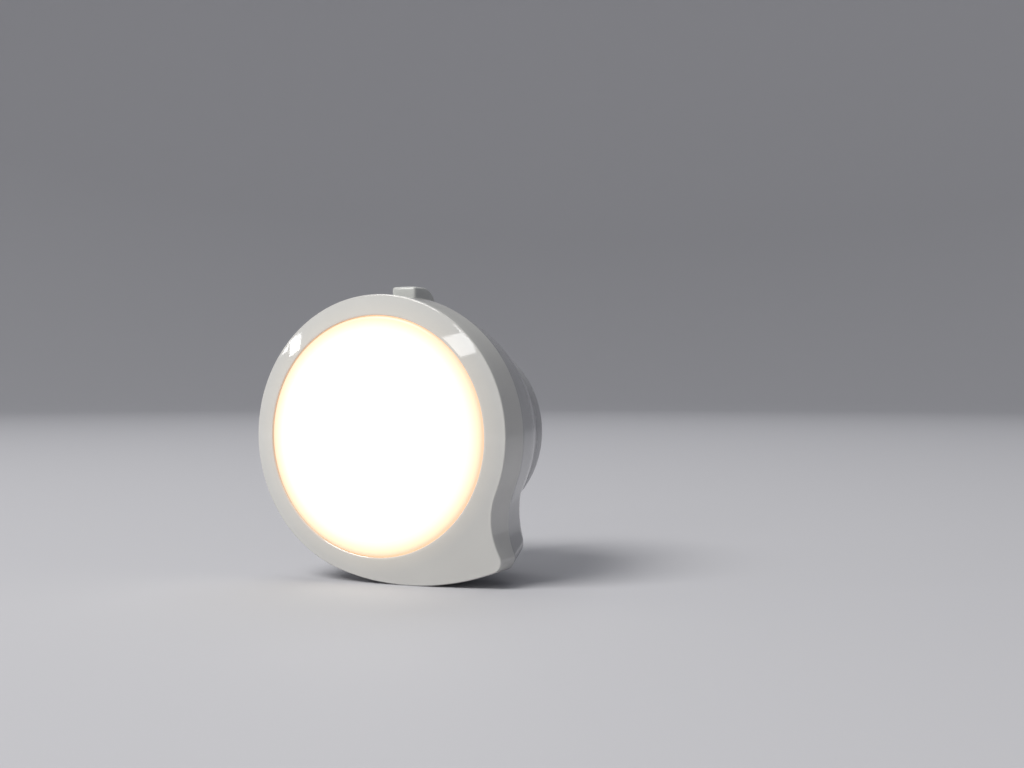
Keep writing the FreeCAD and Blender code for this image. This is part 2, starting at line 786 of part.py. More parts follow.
def blade_clamp():
    """A flat plate over both blade shoulders, screwed to the base."""
    body = new_body("blade_clamp")
    posts(body, "clamp_disc", [(0, 0, size.clamp_radius)], clamp_back, clamp_front)
    up = size.clamp_screw_offset
    holes(body, "clamp_holes", [(ZERO, up, screw_hole), (ZERO, -up, screw_hole)],
          clamp_back - OVERLAP, clamp_front + OVERLAP)
    for side_name, side in BLADE_SIDES.items():
        across, rise, angle = blade_place(side)
        gap = size.slot_gap * 2
        slot = turned_block(rectangle(size.tab_thick + gap, size.tab_width + gap), angle, across, rise)
        block("Pocket", body, side_name + "_tab_slot", slot, clamp_back - OVERLAP, clamp_front + OVERLAP)
    return keep("blade_clamp", body)


def driver_board():
    body = new_body("driver_board")
    posts(body, "driver_disc", [(0, 0, driver_radius)], driver_back, driver_front)
    spots = ring_spots(driver_post_circle, screw_hole, POST_ANGLES) + lead_spots(size.lead_radius)
    holes(body, "driver_holes", spots, driver_back - OVERLAP, driver_front + OVERLAP)
    for side_name, side in BLADE_SIDES.items():
        across, rise, angle = blade_place(side)
        gap = size.slot_gap * 2
        slot = turned_block(rectangle(size.tab_thick + gap, size.tab_width + gap), angle, across, rise)
        block("Pocket", body, side_name + "_pad", slot, driver_back - OVERLAP, driver_front + OVERLAP)
    return keep("driver_board", body)


def driver_components():
    """The mains driver: what stands on the board, each on its front face."""
    face = driver_front

    def place(across, up):
        return driver_radius * across, driver_radius * up

    film = box("film_capacitor", size.film_cap_long, size.film_cap_high, size.film_cap_wide,
               ZERO, face, -(driver_radius * FILM_SHARE))
    keep("mains_capacitor", film)
    across, up = place(*CAN_SHARES)
    keep("smoothing_capacitor", rod("can_capacitor", size.can_radius, size.can_high, across, face, up))
    across, flange = driver_radius * COIL_SHARE, size.coil_high * DRUM_FLANGE_SHARE
    core = rod("coil_core", size.coil_radius * DRUM_CORE_SHARE, size.coil_high, across, face, ZERO)
    foot = rod("coil_foot", size.coil_radius, flange, across, face, ZERO)
    crown = rod("coil_crown", size.coil_radius, flange, across, face + size.coil_high - flange, ZERO)
    keep("filter_inductor", fuse("drum_coil", [core, foot, crown]))
    across, up = place(*BRIDGE_SHARES)
    keep("bridge_rectifier", box("bridge_block", size.bridge_long, size.bridge_high, size.bridge_wide,
                                 across, face, up))
    across, up = place(*CHIP_SHARES)
    keep("driver_chip", box("chip_block", size.chip_long, size.chip_high, size.chip_wide, across, face, up))
    lying = Rotation(Vector(0, 1, 0), 90)
    resistor = rod("resistor_body", size.resistor_radius, size.resistor_long, -(size.resistor_long / 2),
                   face + size.resistor_radius, driver_radius * RESISTOR_SHARE, lying)
    keep("fusible_resistor", resistor)
    chips = []
    across, top = place(*SMALL_SHARES)
    for index in range(2):
        up = top - size.small_pitch * index
        name = "resistor_%d" % (index + 1)
        chips.append(box(name, size.small_long, size.small_high, size.small_wide, across, face, up))
    group("chip_resistors", chips)


def switch():
    """The push switch under the button: board, housing, plunger and spring."""
    body = new_body("switch_board")
    back = driver_front
    front = button_depth + size.switch_width / 2 + 1
    deep = front - back
    upright("Pad", body, "switch_card", size.switch_board_wide, deep, back + deep / 2,
            switch_foot - size.switch_board_thick, switch_foot)
    keep("switch_board", body)

    body = new_body("switch_housing")
    top = switch_top
    bore = size.plunger_wide + size.fit_gap * 2
    upright("Pad", body, "switch_case", size.switch_width, size.switch_width, button_depth,
            switch_foot, top)
    upright("Pocket", body, "switch_bore", bore, bore, button_depth, spring_bottom, top + OVERLAP)
    keep("switch_housing", body)

    body = new_body("switch_plunger")
    upright("Pad", body, "plunger_stem", size.plunger_wide, size.plunger_wide, button_depth,
            plunger_bottom, plunger_top)
    keep("switch_plunger", body)

    radius, wire = size.spring_coil_radius.number, size.spring_wire.number
    tall = (plunger_bottom - spring_bottom).number - wire
    steps = SPRING_TURNS * 4

    def along(share):
        """A point on the coil, at a share of its height."""
        angle = 2 * math.pi * SPRING_TURNS * share
        return Vector(radius * math.cos(angle), radius * math.sin(angle), tall * share)

    arcs = []
    for step in range(steps):
        near, middle, far = along(step / steps), along((step + 0.5) / steps), along((step + 1) / steps)
        arcs.append(Part.Arc(near, middle, far).toShape())
    ring = Part.Wire(Part.Circle(along(0), Vector(0, 1, 0), wire / 2).toShape())
    spring = document.addObject("Part::Feature", "spring_coil")
    spring.Shape = Part.Wire(arcs).makePipeShell([ring], True, False)
    least_gap = tall / SPRING_TURNS - wire
    print("spring: %.2f mm between turns" % least_gap)
    spring.Placement = Placement(Vector(0, -button_depth.number, spring_bottom.number + wire / 2), Rotation())
    keep("switch_spring", spring)


def button_cap():
    """The block that a finger presses, with a flange that keeps it in."""
    body = new_body("button_cap")
    wide, long = size.button_wide, size.button_long
    upright("Pad", body, "cap_block", wide, long, button_depth, guide_bottom - OVERLAP, button_top)
    crest = button_top.number - 0.01
    back = (long / 2 - button_depth).number - 0.01

    def at_back(edge):
        return all(vertex.Point.z > crest and vertex.Point.y > back for vertex in edge.Vertexes)

    def at_top(edge):
        return any(vertex.Point.z > crest for vertex in edge.Vertexes)

    rounds = (("back", size.button_back_round, at_back), ("top", size.button_round, at_top))
    for name, radius, chosen in rounds:
        cap = body.Tip
        edges = ["Edge%d" % index for index, edge in enumerate(cap.Shape.Edges, start=1) if chosen(edge)]
        rounded = body.newObject("PartDesign::Fillet", "cap_round_" + name)
        rounded.Base = (cap, edges)
        rounded.Radius = radius.number
        drive(rounded, "Radius", radius)
        document.recompute()
    reach = size.button_flange * 2
    upright("Pad", body, "cap_flange", wide + reach, long + reach, button_depth,
            plunger_top, guide_bottom)
    keep("button_cap", body)


def lead(name, side):
    """A stiff insulated wire, soldered in the driver board and the light board."""
    wire = rod(name + "_wire", size.lead_radius, board_front - driver_back,
               size.lead_span * side, driver_back, size.lead_span * 2)
    keep(name, wire)


front_shell()
lens()
reflector_tray()
led_board()
leds()
screws("led_board_screws", ring_spots(tray_post_circle, size.screw_radius, POST_ANGLES), board_front,
       board_front - board_back + size.screw_bite)
rear_shell()
plug_base()
screws("base_screws", ring_spots(base_screw_circle, size.screw_radius, BASE_SCREW_ANGLES), floor_top,
       size.rear_floor + size.screw_bite)
for blade_name in BLADE_SIDES:
    blade(blade_name)
    sleeve(blade_name)
blade_clamp()
screws("clamp_screws", [(ZERO, size.clamp_screw_offset, ZERO), (ZERO, -size.clamp_screw_offset, ZERO)],
       clamp_front, size.clamp_height + size.screw_bite - OVERLAP)
driver_board()
screws("board_screws", ring_spots(driver_post_circle, size.screw_radius, POST_ANGLES), driver_front,
       size.driver_height + size.driver_stand)
driver_components()
switch()
button_cap()
lead("led_lead_positive", 1)
lead("led_lead_negative", -1)

document.recompute()
for item in document.Objects:
    if "Invalid" in item.State or "Error" in item.State:
        raise RuntimeError("%s did not build: %s" % (item.Name, item.State))
for name, item in parts.items():
    if item.Shape.isNull() or not item.Shape.isValid():
        raise RuntimeError("%s has no valid shape" % name)
os.makedirs("parts", exist_ok=True)
for name, item in parts.items():
    item.Shape.exportStep("parts/%s.step" % name)
    bounds = item.Shape.BoundBox
    print("%-20s %d solid, %8.1f mm3, y %.1f to %.1f" % (
        name, len(item.Shape.Solids), item.Shape.Volume, bounds.YMin, bounds.YMax))
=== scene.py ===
# %% [markdown]
# # A plug in night light, dressed in Blender
#
# The lamp's solids come in as a fixed frame, at their real size and in metres.
# This lesson gives every piece its finish, remakes the outer mouldings as smooth
# meshes, and adds the small things that make an object look made: solder, coil
# turns, screw threads and moulding marks. The lamp shines towards -Y.

# %% Load the frame
import bmesh
import bpy
import json
import math
from mathutils import Matrix, Vector


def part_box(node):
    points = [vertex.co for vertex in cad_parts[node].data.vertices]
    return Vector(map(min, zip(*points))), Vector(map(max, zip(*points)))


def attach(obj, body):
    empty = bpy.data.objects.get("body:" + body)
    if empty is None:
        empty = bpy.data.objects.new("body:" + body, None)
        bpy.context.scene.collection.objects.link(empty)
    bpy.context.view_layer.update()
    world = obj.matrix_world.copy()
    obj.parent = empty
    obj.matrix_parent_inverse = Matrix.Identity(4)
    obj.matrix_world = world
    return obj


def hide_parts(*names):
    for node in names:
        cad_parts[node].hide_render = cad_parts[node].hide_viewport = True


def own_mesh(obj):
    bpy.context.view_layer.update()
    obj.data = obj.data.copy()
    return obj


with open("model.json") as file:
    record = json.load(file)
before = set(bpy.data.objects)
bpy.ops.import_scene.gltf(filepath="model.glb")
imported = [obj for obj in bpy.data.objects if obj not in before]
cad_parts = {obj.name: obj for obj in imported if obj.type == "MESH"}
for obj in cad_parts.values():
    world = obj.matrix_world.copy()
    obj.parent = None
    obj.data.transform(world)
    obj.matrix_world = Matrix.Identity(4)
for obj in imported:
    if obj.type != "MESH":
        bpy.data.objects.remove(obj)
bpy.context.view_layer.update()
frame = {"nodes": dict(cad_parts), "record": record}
nodes = frame["nodes"]
MM = 0.001
print("nodes in the frame:", len(nodes))

# %% [markdown]
# ## Helpers for making pieces
#
# A finished piece's object stays at the origin and its place is in its mesh, so a
# pattern in Object coordinates stays where it is. `finish_piece` gathers the calls
# that each piece needs: a material, the body that it rides on and the solids that
# it stands for.

# %% Piece helpers


def link_mesh(name, mesh):
    """Puts a mesh into the scene as an object at the origin."""
    thing = bpy.data.objects.new(name, mesh)
    bpy.context.scene.collection.objects.link(thing)
    return thing


def baked(piece):
    """The mesh of a piece with its modifiers applied."""
    bpy.context.view_layer.update()
    return bpy.data.meshes.new_from_object(piece.evaluated_get(bpy.context.evaluated_depsgraph_get()))


def quarter(steps):
    """A quarter turn in steps: what is left of its rise, and how far it has gone forward."""
    angles = [math.radians(90) * step / steps for step in range(steps + 1)]
    return [(1 - math.sin(angle), 1 - math.cos(angle)) for angle in angles]


def shade(mesh, angle=35):
    """Smooth faces, with an edge kept sharp where it turns more than the angle."""
    work = bmesh.new()
    work.from_mesh(mesh)
    for face in work.faces:
        face.smooth = True
    for edge in work.edges:
        turn = edge.calc_face_angle(0.0)
        edge.smooth = turn < math.radians(angle)
    work.to_mesh(mesh)
    work.free()


def piece_from(name, points, faces, weld=1e-7):
    """A mesh from points and faces, welded, with its normals outward."""
    mesh = bpy.data.meshes.new(name)
    mesh.from_pydata([tuple(point) for point in points], [], faces)
    work = bmesh.new()
    work.from_mesh(mesh)
    bmesh.ops.remove_doubles(work, verts=work.verts, dist=weld)
    bmesh.ops.dissolve_degenerate(work, edges=work.edges, dist=weld)
    bmesh.ops.recalc_face_normals(work, faces=work.faces)
    if work.calc_volume(signed=True) < 0:
        bmesh.ops.reverse_faces(work, faces=work.faces)
    work.to_mesh(mesh)
    work.free()
    shade(mesh)
    return link_mesh(name, mesh)


def finish_piece(piece, slot, *replaced, body="housing"):
    """Material, body and solids of a finished piece. A tree may have set its material already."""
    if not piece.data.materials:
        piece.data.materials.append(finishes[slot].material)
    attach(piece, body)
    if replaced:
        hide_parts(*replaced)
    print("%-22s %6d faces" % (piece.name, len(piece.data.polygons)))


# %% [markdown]
# ## Camera, floor and lights
#
# The photograph looks at the lamp from its right, a little above its middle, with
# a normal lens. The horizon lies slightly above the middle of the frame, which a
# small lens shift gives without tilting the camera. A large soft box high on the
# left leaves the right side in quiet shade, and small ones make the bright pane
# shapes that the glossy ring mirrors at its upper left and upper right.

# %% Camera
FRAME_WIDE = 1024
FOCAL_PIXELS = 1430
SENSOR = 36.0
HORIZON_ABOVE_MIDDLE = 10
CLIP_NEAR = 0.01
VIEW_TURN = math.radians(24.6)
CAMERA_PLACE = Vector((131.34, -261.0, 11.37)) * MM

camera_data = bpy.data.cameras.new("photo_camera")
camera_data.sensor_width = SENSOR
camera_data.lens = FOCAL_PIXELS / FRAME_WIDE * SENSOR
camera_data.shift_y = -HORIZON_ABOVE_MIDDLE / FRAME_WIDE
camera_data.clip_start = CLIP_NEAR
camera = bpy.data.objects.new("photo_camera", camera_data)
camera.location = CAMERA_PLACE
camera.rotation_euler = (math.radians(90), 0, VIEW_TURN)
bpy.context.scene.collection.objects.link(camera)
bpy.context.scene.camera = camera
bpy.context.scene.view_settings.view_transform = "Standard"
print("camera: %.1f mm lens, %.3f m from the lamp" % (camera_data.lens, camera.location.length))

# %% Floor
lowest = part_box("front_shell")[0].z
FLAT_RADIUS, SWEEP_RADIUS = 1.25, 0.7
FLAT_STEPS, SWEEP_STEPS, FLOOR_SIDES = 4, 12, 72
FLOOR_COLOUR, FLOOR_ROUGH = (0.52, 0.52, 0.55, 1), 0.75


def studio_floor(name):
    """A round floor that sweeps up at its edge, so that no horizon shows in the gloss."""
    profile = [(FLAT_RADIUS * step / FLAT_STEPS, 0.0) for step in range(1, FLAT_STEPS + 1)]
    profile += [(FLAT_RADIUS + SWEEP_RADIUS * (1 - left), SWEEP_RADIUS * gone)
                for left, gone in quarter(SWEEP_STEPS)[1:]]
    points, faces = [(0, 0, lowest)], []
    for radius, height in profile:
        for side in range(FLOOR_SIDES):
            angle = 2 * math.pi * side / FLOOR_SIDES
            points.append((radius * math.cos(angle), radius * math.sin(angle), lowest + height))
    for side in range(FLOOR_SIDES):
        after = (side + 1) % FLOOR_SIDES
        faces.append((0, 1 + side, 1 + after))
        for ring in range(len(profile) - 1):
            near, far = 1 + ring * FLOOR_SIDES, 1 + (ring + 1) * FLOOR_SIDES
            faces.append((near + side, far + side, far + after, near + after))
    mesh = bpy.data.meshes.new(name)
    mesh.from_pydata(points, [], faces)
    for face in mesh.polygons:
        face.use_smooth = True
    return link_mesh(name, mesh)


floor = studio_floor("floor")
floor_paint = bpy.data.materials.new("floor_paint")
floor_paint.use_nodes = True
floor_shader = floor_paint.node_tree.nodes["Principled BSDF"]
floor_shader.inputs["Base Color"].default_value = FLOOR_COLOUR
floor_shader.inputs["Roughness"].default_value = FLOOR_ROUGH
floor.data.materials.append(floor_paint)
print("floor: %.2f m across" % (2 * (FLAT_RADIUS + SWEEP_RADIUS)))

# %% Sky
SKY_COLOUR, SKY_STRENGTH = (0.58, 0.60, 0.65, 1), 0.29
world = bpy.data.worlds.new("studio")
world.use_nodes = True
world.node_tree.nodes["Background"].inputs["Color"].default_value = SKY_COLOUR
world.node_tree.nodes["Background"].inputs["Strength"].default_value = SKY_STRENGTH
bpy.context.scene.world = world
print("sky strength:", SKY_STRENGTH)

# %% Lights


def soft_box(name, place, aim, wide, tall, power, colour=(1, 1, 1), roll=0.0):
    """A rectangular lamp that faces a point, in metres, watts and degrees."""
    light = bpy.data.lights.new(name, "AREA")
    light.shape = "RECTANGLE"
    light.size = wide
    light.size_y = tall
    light.energy = power
    light.color = colour
    holder = bpy.data.objects.new(name, light)
    holder.location = place
    direction = Vector(aim) - Vector(place)
    facing = direction.to_track_quat("-Z", "Y").to_matrix() @ Matrix.Rotation(math.radians(roll), 3, "Z")
    holder.rotation_euler = facing.to_euler()
    bpy.context.scene.collection.objects.link(holder)
    print("%-18s %5.2f W" % (name, power))


MIDDLE = Vector((0, -0.02, 0))
KEY_COLOUR = (1.0, 0.985, 0.95)
soft_box("key_light", (-0.42, -0.85, 1.05), MIDDLE, 0.7, 0.7, 18.2, KEY_COLOUR)
soft_box("back_light", (-0.25, 0.75, 1.0), MIDDLE, 0.9, 0.6, 4.0)

# %% Bright panes in the ring
# Each stands where the ring's sloping front mirrors it towards the camera.
RING_SPOT_RIGHT, WAY_RIGHT = Vector((0.0175, -0.034, 0.0166)), Vector((-0.118, -0.935, 0.336))
RING_SPOT_LEFT, WAY_LEFT = Vector((-0.0181, -0.034, 0.0174)), Vector((-0.798, -0.544, 0.262))
PANE_FAR = 1.0
for name, spot, way, aside, wide, tall, power, roll in (
        ("pane_right", RING_SPOT_RIGHT, WAY_RIGHT, 0.0, 0.18, 0.11, 0.40, 24),
        ("pane_left", RING_SPOT_LEFT, WAY_LEFT, 0.0, 0.065, 0.075, 0.17, 28),
        ("pane_left_narrow", RING_SPOT_LEFT, WAY_LEFT, 0.075, 0.04, 0.075, 0.08, 28)):
    place = spot + way * PANE_FAR + way.cross(Vector((0, 0, 1))).normalized() * aside
    soft_box(name, place, spot, wide, tall, power, roll=roll)

# %% [markdown]
# ## Finishes
#
# Moulded plastic is never one flat colour: it has a faint cloudiness, a fine skin
# that breaks up its gloss, and slightly rougher patches where it is handled. One
# function makes all of these from noise in Object coordinates, in metres, so the
# grain has the same real size on every piece. Colours that do not vary are set on
# the shader's own sockets, because linked ones are lost when a model is exported.

# %% Finish helpers


class Finish:
    """A material with its node tree at hand."""

    def __init__(self, name):
        self.material = bpy.data.materials.new(name)
        self.material.use_nodes = True
        self.tree = self.material.node_tree
        self.shader = self.tree.nodes["Principled BSDF"]
        self.place = self.tree.nodes.new("ShaderNodeTexCoord").outputs["Object"]

    def node(self, kind, **settings):
        """A new node, with its settings."""
        made = self.tree.nodes.new(kind)
        for key, value in settings.items():
            setattr(made, key, value)
        return made

    def join(self, source, target):
        self.tree.links.new(source, target)

    def set(self, **sockets):
        """Values that are the same all over the surface, on the shader's own sockets."""
        for name, value in sockets.items():
            self.shader.inputs[name.replace("_", " ").title().replace("Ior", "IOR")].default_value = value
        return self

    def noise(self, scale, detail=3.0, rough=0.5, stretch=None):
        """Noise in metres: a scale of 100 has features of about 10 mm."""
        texture = self.node("ShaderNodeTexNoise")
        texture.inputs["Scale"].default_value = scale
        texture.inputs["Detail"].default_value = detail
        texture.inputs["Roughness"].default_value = rough
        source = self.place
        if stretch:
            mapping = self.node("ShaderNodeMapping")
            mapping.inputs["Scale"].default_value = stretch
            self.join(source, mapping.inputs["Vector"])
            source = mapping.outputs["Vector"]
        self.join(source, texture.inputs["Vector"])
        return texture.outputs["Fac"]

    def span(self, source, low, high, start=0.3, stop=0.7):
        """Carries a value from one range into another."""
        spread = self.node("ShaderNodeMapRange")
        spread.inputs["From Min"].default_value = start
        spread.inputs["From Max"].default_value = stop
        spread.inputs["To Min"].default_value = low
        spread.inputs["To Max"].default_value = high
        self.join(source, spread.inputs["Value"])
        return spread.outputs["Result"]

    def blend(self, factor, first, second):
        """One colour into another."""
        mix = self.node("ShaderNodeMix", data_type="RGBA")
        # Sockets of several kinds share these names, and only the colour pair is meant.
        for label, value in (("A", first), ("B", second)):
            colour = [s for s in mix.inputs if s.name == label and s.type == "RGBA"][0]
            if isinstance(value, bpy.types.NodeSocket):
                self.join(value, colour)
            else:
                colour.default_value = (*value[:3], 1)
        self.join(factor, [s for s in mix.inputs if s.name == "Factor" and s.type == "VALUE"][0])
        return [s for s in mix.outputs if s.type == "RGBA"][0]

    def bump(self, height, strength, distance):
        """Small relief in the shading, never a visible shape."""
        bump = self.node("ShaderNodeBump")
        bump.inputs["Strength"].default_value = strength
        bump.inputs["Distance"].default_value = distance
        self.join(height, bump.inputs["Height"])
        self.join(bump.outputs["Normal"], self.shader.inputs["Normal"])


CLOUD_SCALE, GLOSS_SCALE, SKIN_SCALE, GRAIN_SCALE = 90, 240, 2600, 1500
SKIN_DEEP, GRAIN_DEEP = 0.00004, 0.00002
COAT_ROUGH = 0.03


def tinted(colour, share):
    """A colour made lighter or darker."""
    return tuple(max(0.0, min(1.0, channel * share)) for channel in colour[:3])


def moulded(name, colour, rough, coat=0.0, grain=0.05, cloud=0.04):
    """Moulded plastic: faint clouds in the colour, a fine skin and uneven gloss."""
    made = Finish(name)
    clouds = made.noise(CLOUD_SCALE, 4)
    skin = made.noise(SKIN_SCALE, 2)
    made.join(made.blend(made.span(clouds, 0, 1), tinted(colour, 1 - cloud), tinted(colour, 1 + cloud)),
              made.shader.inputs["Base Color"])
    made.join(made.span(made.noise(GLOSS_SCALE, 5), rough * 0.8, rough * 1.25),
              made.shader.inputs["Roughness"])
    made.bump(skin, grain, SKIN_DEEP)
    made.set(coat_weight=coat, coat_roughness=COAT_ROUGH)
    return made


def metal(name, colour, rough, stretch=(1, 1, 1), grain=0.1):
    """Metal with a drawn or plated grain that runs one way."""
    made = Finish(name)
    lines = made.noise(GRAIN_SCALE, 3, 0.6, stretch)
    made.join(made.blend(made.span(lines, 0, 1), tinted(colour, 0.86), tinted(colour, 1.06)),
              made.shader.inputs["Base Color"])
    made.join(made.span(lines, rough * 0.7, rough * 1.4), made.shader.inputs["Roughness"])
    made.set(metallic=1.0)
    made.bump(lines, grain, GRAIN_DEEP)
    return made


# %% Plastics and metals
# A plastic's row is its colour, roughness, coat, skin and cloudiness.
PLASTICS = {
    "ring_gloss": ((0.615, 0.61, 0.585), 0.045, 0.25, 0.004, 0.015),
    # The rear body and the base are darker than the ring, partly as a greyer plastic and partly as painted
    # shade.
    "shell_gloss": ((0.41, 0.41, 0.415), 0.18, 0.3, 0.02, 0.02),
    "base_gloss": ((0.45, 0.45, 0.46), 0.24, 0.2, 0.04, 0.02),
    "button_satin": ((0.53, 0.54, 0.52), 0.28, 0.15, 0.06),
    "tray_white": ((0.86, 0.86, 0.84), 0.42),
    "clamp_plastic": ((0.78, 0.77, 0.72), 0.45, 0.0, 0.15),
    "sleeve_black": ((0.03, 0.03, 0.033), 0.4, 0.0, 0.2, 0.15),
    "film_box": ((0.70, 0.42, 0.05), 0.25, 0.2, 0.08),
    "can_sleeve": ((0.03, 0.035, 0.07), 0.22, 0.4, 0.05, 0.1),
    "chip_black": ((0.022, 0.022, 0.022), 0.55, 0.0, 0.5, 0.2),
    "coil_ferrite": ((0.07, 0.065, 0.06), 0.5, 0.0, 0.5, 0.2),
    "resistor_tan": ((0.42, 0.30, 0.16), 0.4, 0.1, 0.2),
    "wire_red": ((0.45, 0.02, 0.015), 0.35),
    "wire_black": ((0.02, 0.02, 0.02), 0.35),
    "light_board": ((0.80, 0.80, 0.78), 0.35, 0.2, 0.1),
}
# A metal's row is its colour, roughness and the way its grain is drawn out.
METALS = {
    "screw_steel": ((0.62, 0.62, 0.64), 0.25),
    "blade_brass": ((0.78, 0.72, 0.56), 0.22, (1, 0.04, 1)),
    "spring_steel": ((0.55, 0.55, 0.56), 0.3),
}
finishes = {name: moulded(name, *row) for name, row in PLASTICS.items()}
finishes.update({name: metal(name, *row) for name, row in METALS.items()})
copper = metal("copper_enamel", (0.72, 0.28, 0.10), 0.22).material
print("plastics and metals:", len(finishes))

# %% [markdown]
# ## The lit lens and the painted glow in the ring
#
# The lamp is on. Its face is burnt out to white in the middle, turns cream near the
# rim and ends in a thin peach line, where the light has the most opal plastic to
# cross. Beside the lens the ring gets a painted glow: warm emission in its colour that
# stands in for the lens's light falling on it. Both are set by the distance from the
# lamp's axis, so they stay put from every side.

# %% Radius ramps


def radius_ramp(made, stops):
    """Colours by distance from the lamp's axis. Stops are (millimetres, colour)."""
    parts = made.node("ShaderNodeSeparateXYZ")
    made.join(made.place, parts.inputs[0])
    flat = made.node("ShaderNodeCombineXYZ")
    made.join(parts.outputs["X"], flat.inputs["X"])
    made.join(parts.outputs["Z"], flat.inputs["Z"])
    length = made.node("ShaderNodeVectorMath", operation="LENGTH")
    made.join(flat.outputs[0], length.inputs[0])
    start = stops[0][0] * MM
    stop = stops[-1][0] * MM
    even = made.span(length.outputs["Value"], 0, 1, start, stop)
    ramp = made.node("ShaderNodeValToRGB")
    made.join(even, ramp.inputs["Fac"])
    band = ramp.color_ramp
    while len(band.elements) < len(stops):
        band.elements.new(0.5)
    for element, (radius, colour) in zip(band.elements, stops):
        element.position = (radius * MM - start) / (stop - start)
        element.color = (*colour, 1)
    return ramp.outputs["Color"]


FLANGE = 1.3
LENS_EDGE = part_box("lens")[1].x / MM - FLANGE
# Shares of the way from the lens's middle to its edge.
LENS_GLOW = (
    (0.0, (1.25, 1.22, 1.14)), (0.81, (1.08, 1.05, 0.90)), (0.91, (0.92, 0.87, 0.58)),
    (0.945, (0.86, 0.72, 0.43)), (0.972, (0.84, 0.55, 0.32)), (1.0, (0.76, 0.45, 0.26)))
lens_finish = Finish("lens_opal")
lens_finish.set(base_color=(0.42, 0.40, 0.36, 1), roughness=0.36, emission_strength=1.0)
lens_finish.join(radius_ramp(lens_finish, [(LENS_EDGE * share, colour) for share, colour in LENS_GLOW]),
                 lens_finish.shader.inputs["Emission Color"])
lens_finish.bump(lens_finish.noise(1800, 3), 0.05, 0.00005)
finishes["lens_opal"] = lens_finish

# Painted glow of the lens's light on the ring, in millimetres past the edge of the lens.
RING_PAINTED_GLOW = ((0.0, (0.16, 0.08, 0.035)), (0.5, (0.05, 0.035, 0.016)), (3.0, (0.0, 0.0, 0.0)))
ring_painted_glow = finishes["ring_gloss"]
ring_painted_glow.set(emission_strength=1.0)
ring_painted_glow.join(radius_ramp(ring_painted_glow, [(LENS_EDGE + past, colour) for past, colour in RING_PAINTED_GLOW]),
               ring_painted_glow.shader.inputs["Emission Color"])
print("lens edge: %.1f mm from the axis" % LENS_EDGE)

# %% [markdown]
# ## Circuit boards and light emitters
#
# Solder mask is a coloured lacquer over copper: the tracks show as slightly paler,
# raised bands. A brick pattern, squeezed and thresholded, gives such runs of lines
# without drawing any marks or letters.

# %% Board lacquer


def lacquer(name, colour, track):
    """Solder mask with the paler runs of tracks under it."""
    made = Finish(name)
    bricks = made.node("ShaderNodeTexBrick")
    turned = made.node("ShaderNodeMapping")
    turned.inputs["Rotation"].default_value = (math.radians(90), 0, 0)
    made.join(made.place, turned.inputs["Vector"])
    made.join(turned.outputs["Vector"], bricks.inputs["Vector"])
    for label, value in (("Scale", 260), ("Mortar Size", 0.03), ("Brick Width", 1.4), ("Row Height", 0.42)):
        bricks.inputs[label].default_value = value
    made.join(made.blend(bricks.outputs["Fac"], colour, track), made.shader.inputs["Base Color"])
    made.join(made.span(made.noise(900), 0.22, 0.38), made.shader.inputs["Roughness"])
    made.bump(bricks.outputs["Fac"], 0.3, 0.00003)
    made.set(coat_weight=0.4, coat_roughness=0.1)
    return made


finishes["board_green"] = lacquer("board_green", (0.015, 0.10, 0.035), (0.03, 0.17, 0.06))
phosphor = moulded("led_phosphor", (0.90, 0.66, 0.12), 0.3, 0.2)
phosphor.set(emission_color=(1.0, 0.82, 0.5, 1), emission_strength=3.0)
finishes["led_phosphor"] = phosphor
print("finishes:", len(finishes))

# %% Every carried-over solid gets its finish
slots = {part["node"]: part["material_slot"] for part in frame["record"]["subparts"]}
for name, solid in nodes.items():
    solid.data.materials.clear()
    solid.data.materials.append(finishes[slots[name]].material)
print("dressed solids:", len(nodes))

# %% [markdown]
# ## The outline of the ring
#
# Seen from the front the lamp is a circle that runs out into a short tail. Four
# arcs make it, each tangent to the next: the ring, a long sweep below, the round
# tip and the hollow waist. An arc's offset is another arc, so a wall or a rounded
# edge is the same outline with its radii changed.

# %% Outline
RING_RADIUS = -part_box("front_shell")[0].x / MM
FRONT_ARCS = {"ring": RING_RADIUS, "tip": 2.3, "waist": 15.0, "sweep": 46.8, "across": 22.0, "up": -21.9}
ARC_STEPS = {"ring": 150, "sweep": 60, "tip": 26, "waist": 40}


def drawn_in(arcs, inset):
    """The same outline with every arc moved inwards."""
    moved = dict(arcs)
    for name in ("ring", "tip", "sweep"):
        moved[name] -= inset
    moved["waist"] += inset
    return moved


def trace(arcs):
    """Points of an outline, anticlockwise from the waist."""
    ring, tip, waist, sweep = (arcs[name] for name in ("ring", "tip", "waist", "sweep"))
    tail = Vector((arcs["across"], arcs["up"]))
    bearing = math.atan2(tail.y, tail.x)

    def apex(from_ring, from_tip):
        far = tail.length
        cosine = (far ** 2 + from_ring ** 2 - from_tip ** 2) / (2 * far * from_ring)
        angle = bearing + math.acos(cosine)
        return Vector((math.cos(angle), math.sin(angle))) * from_ring

    waist_middle = apex(ring + waist, waist + tip)
    sweep_middle = apex(sweep - ring, sweep - tip)
    joints = [
        waist_middle.normalized() * ring,
        -sweep_middle.normalized() * ring,
        tail + (tail - sweep_middle).normalized() * tip,
        tail + (waist_middle - tail).normalized() * tip]
    runs = (
        (Vector((0, 0)), ring, joints[0], joints[1], 1, ARC_STEPS["ring"]),
        (sweep_middle, sweep, joints[1], joints[2], 1, ARC_STEPS["sweep"]),
        (tail, tip, joints[2], joints[3], 1, ARC_STEPS["tip"]),
        (waist_middle, waist, joints[3], joints[0], -1, ARC_STEPS["waist"]))
    points = []
    for middle, radius, start, end, way, steps in runs:
        first = math.atan2(*(start - middle).yx)
        last = math.atan2(*(end - middle).yx)
        turn = (last - first) * way % (2 * math.pi) * way
        for step in range(steps):
            angle = first + turn * step / steps
            points.append(middle + Vector((math.cos(angle), math.sin(angle))) * radius)
    return points


def outline(inset):
    """The ring's outline, drawn in all round."""
    return trace(drawn_in(FRONT_ARCS, inset))


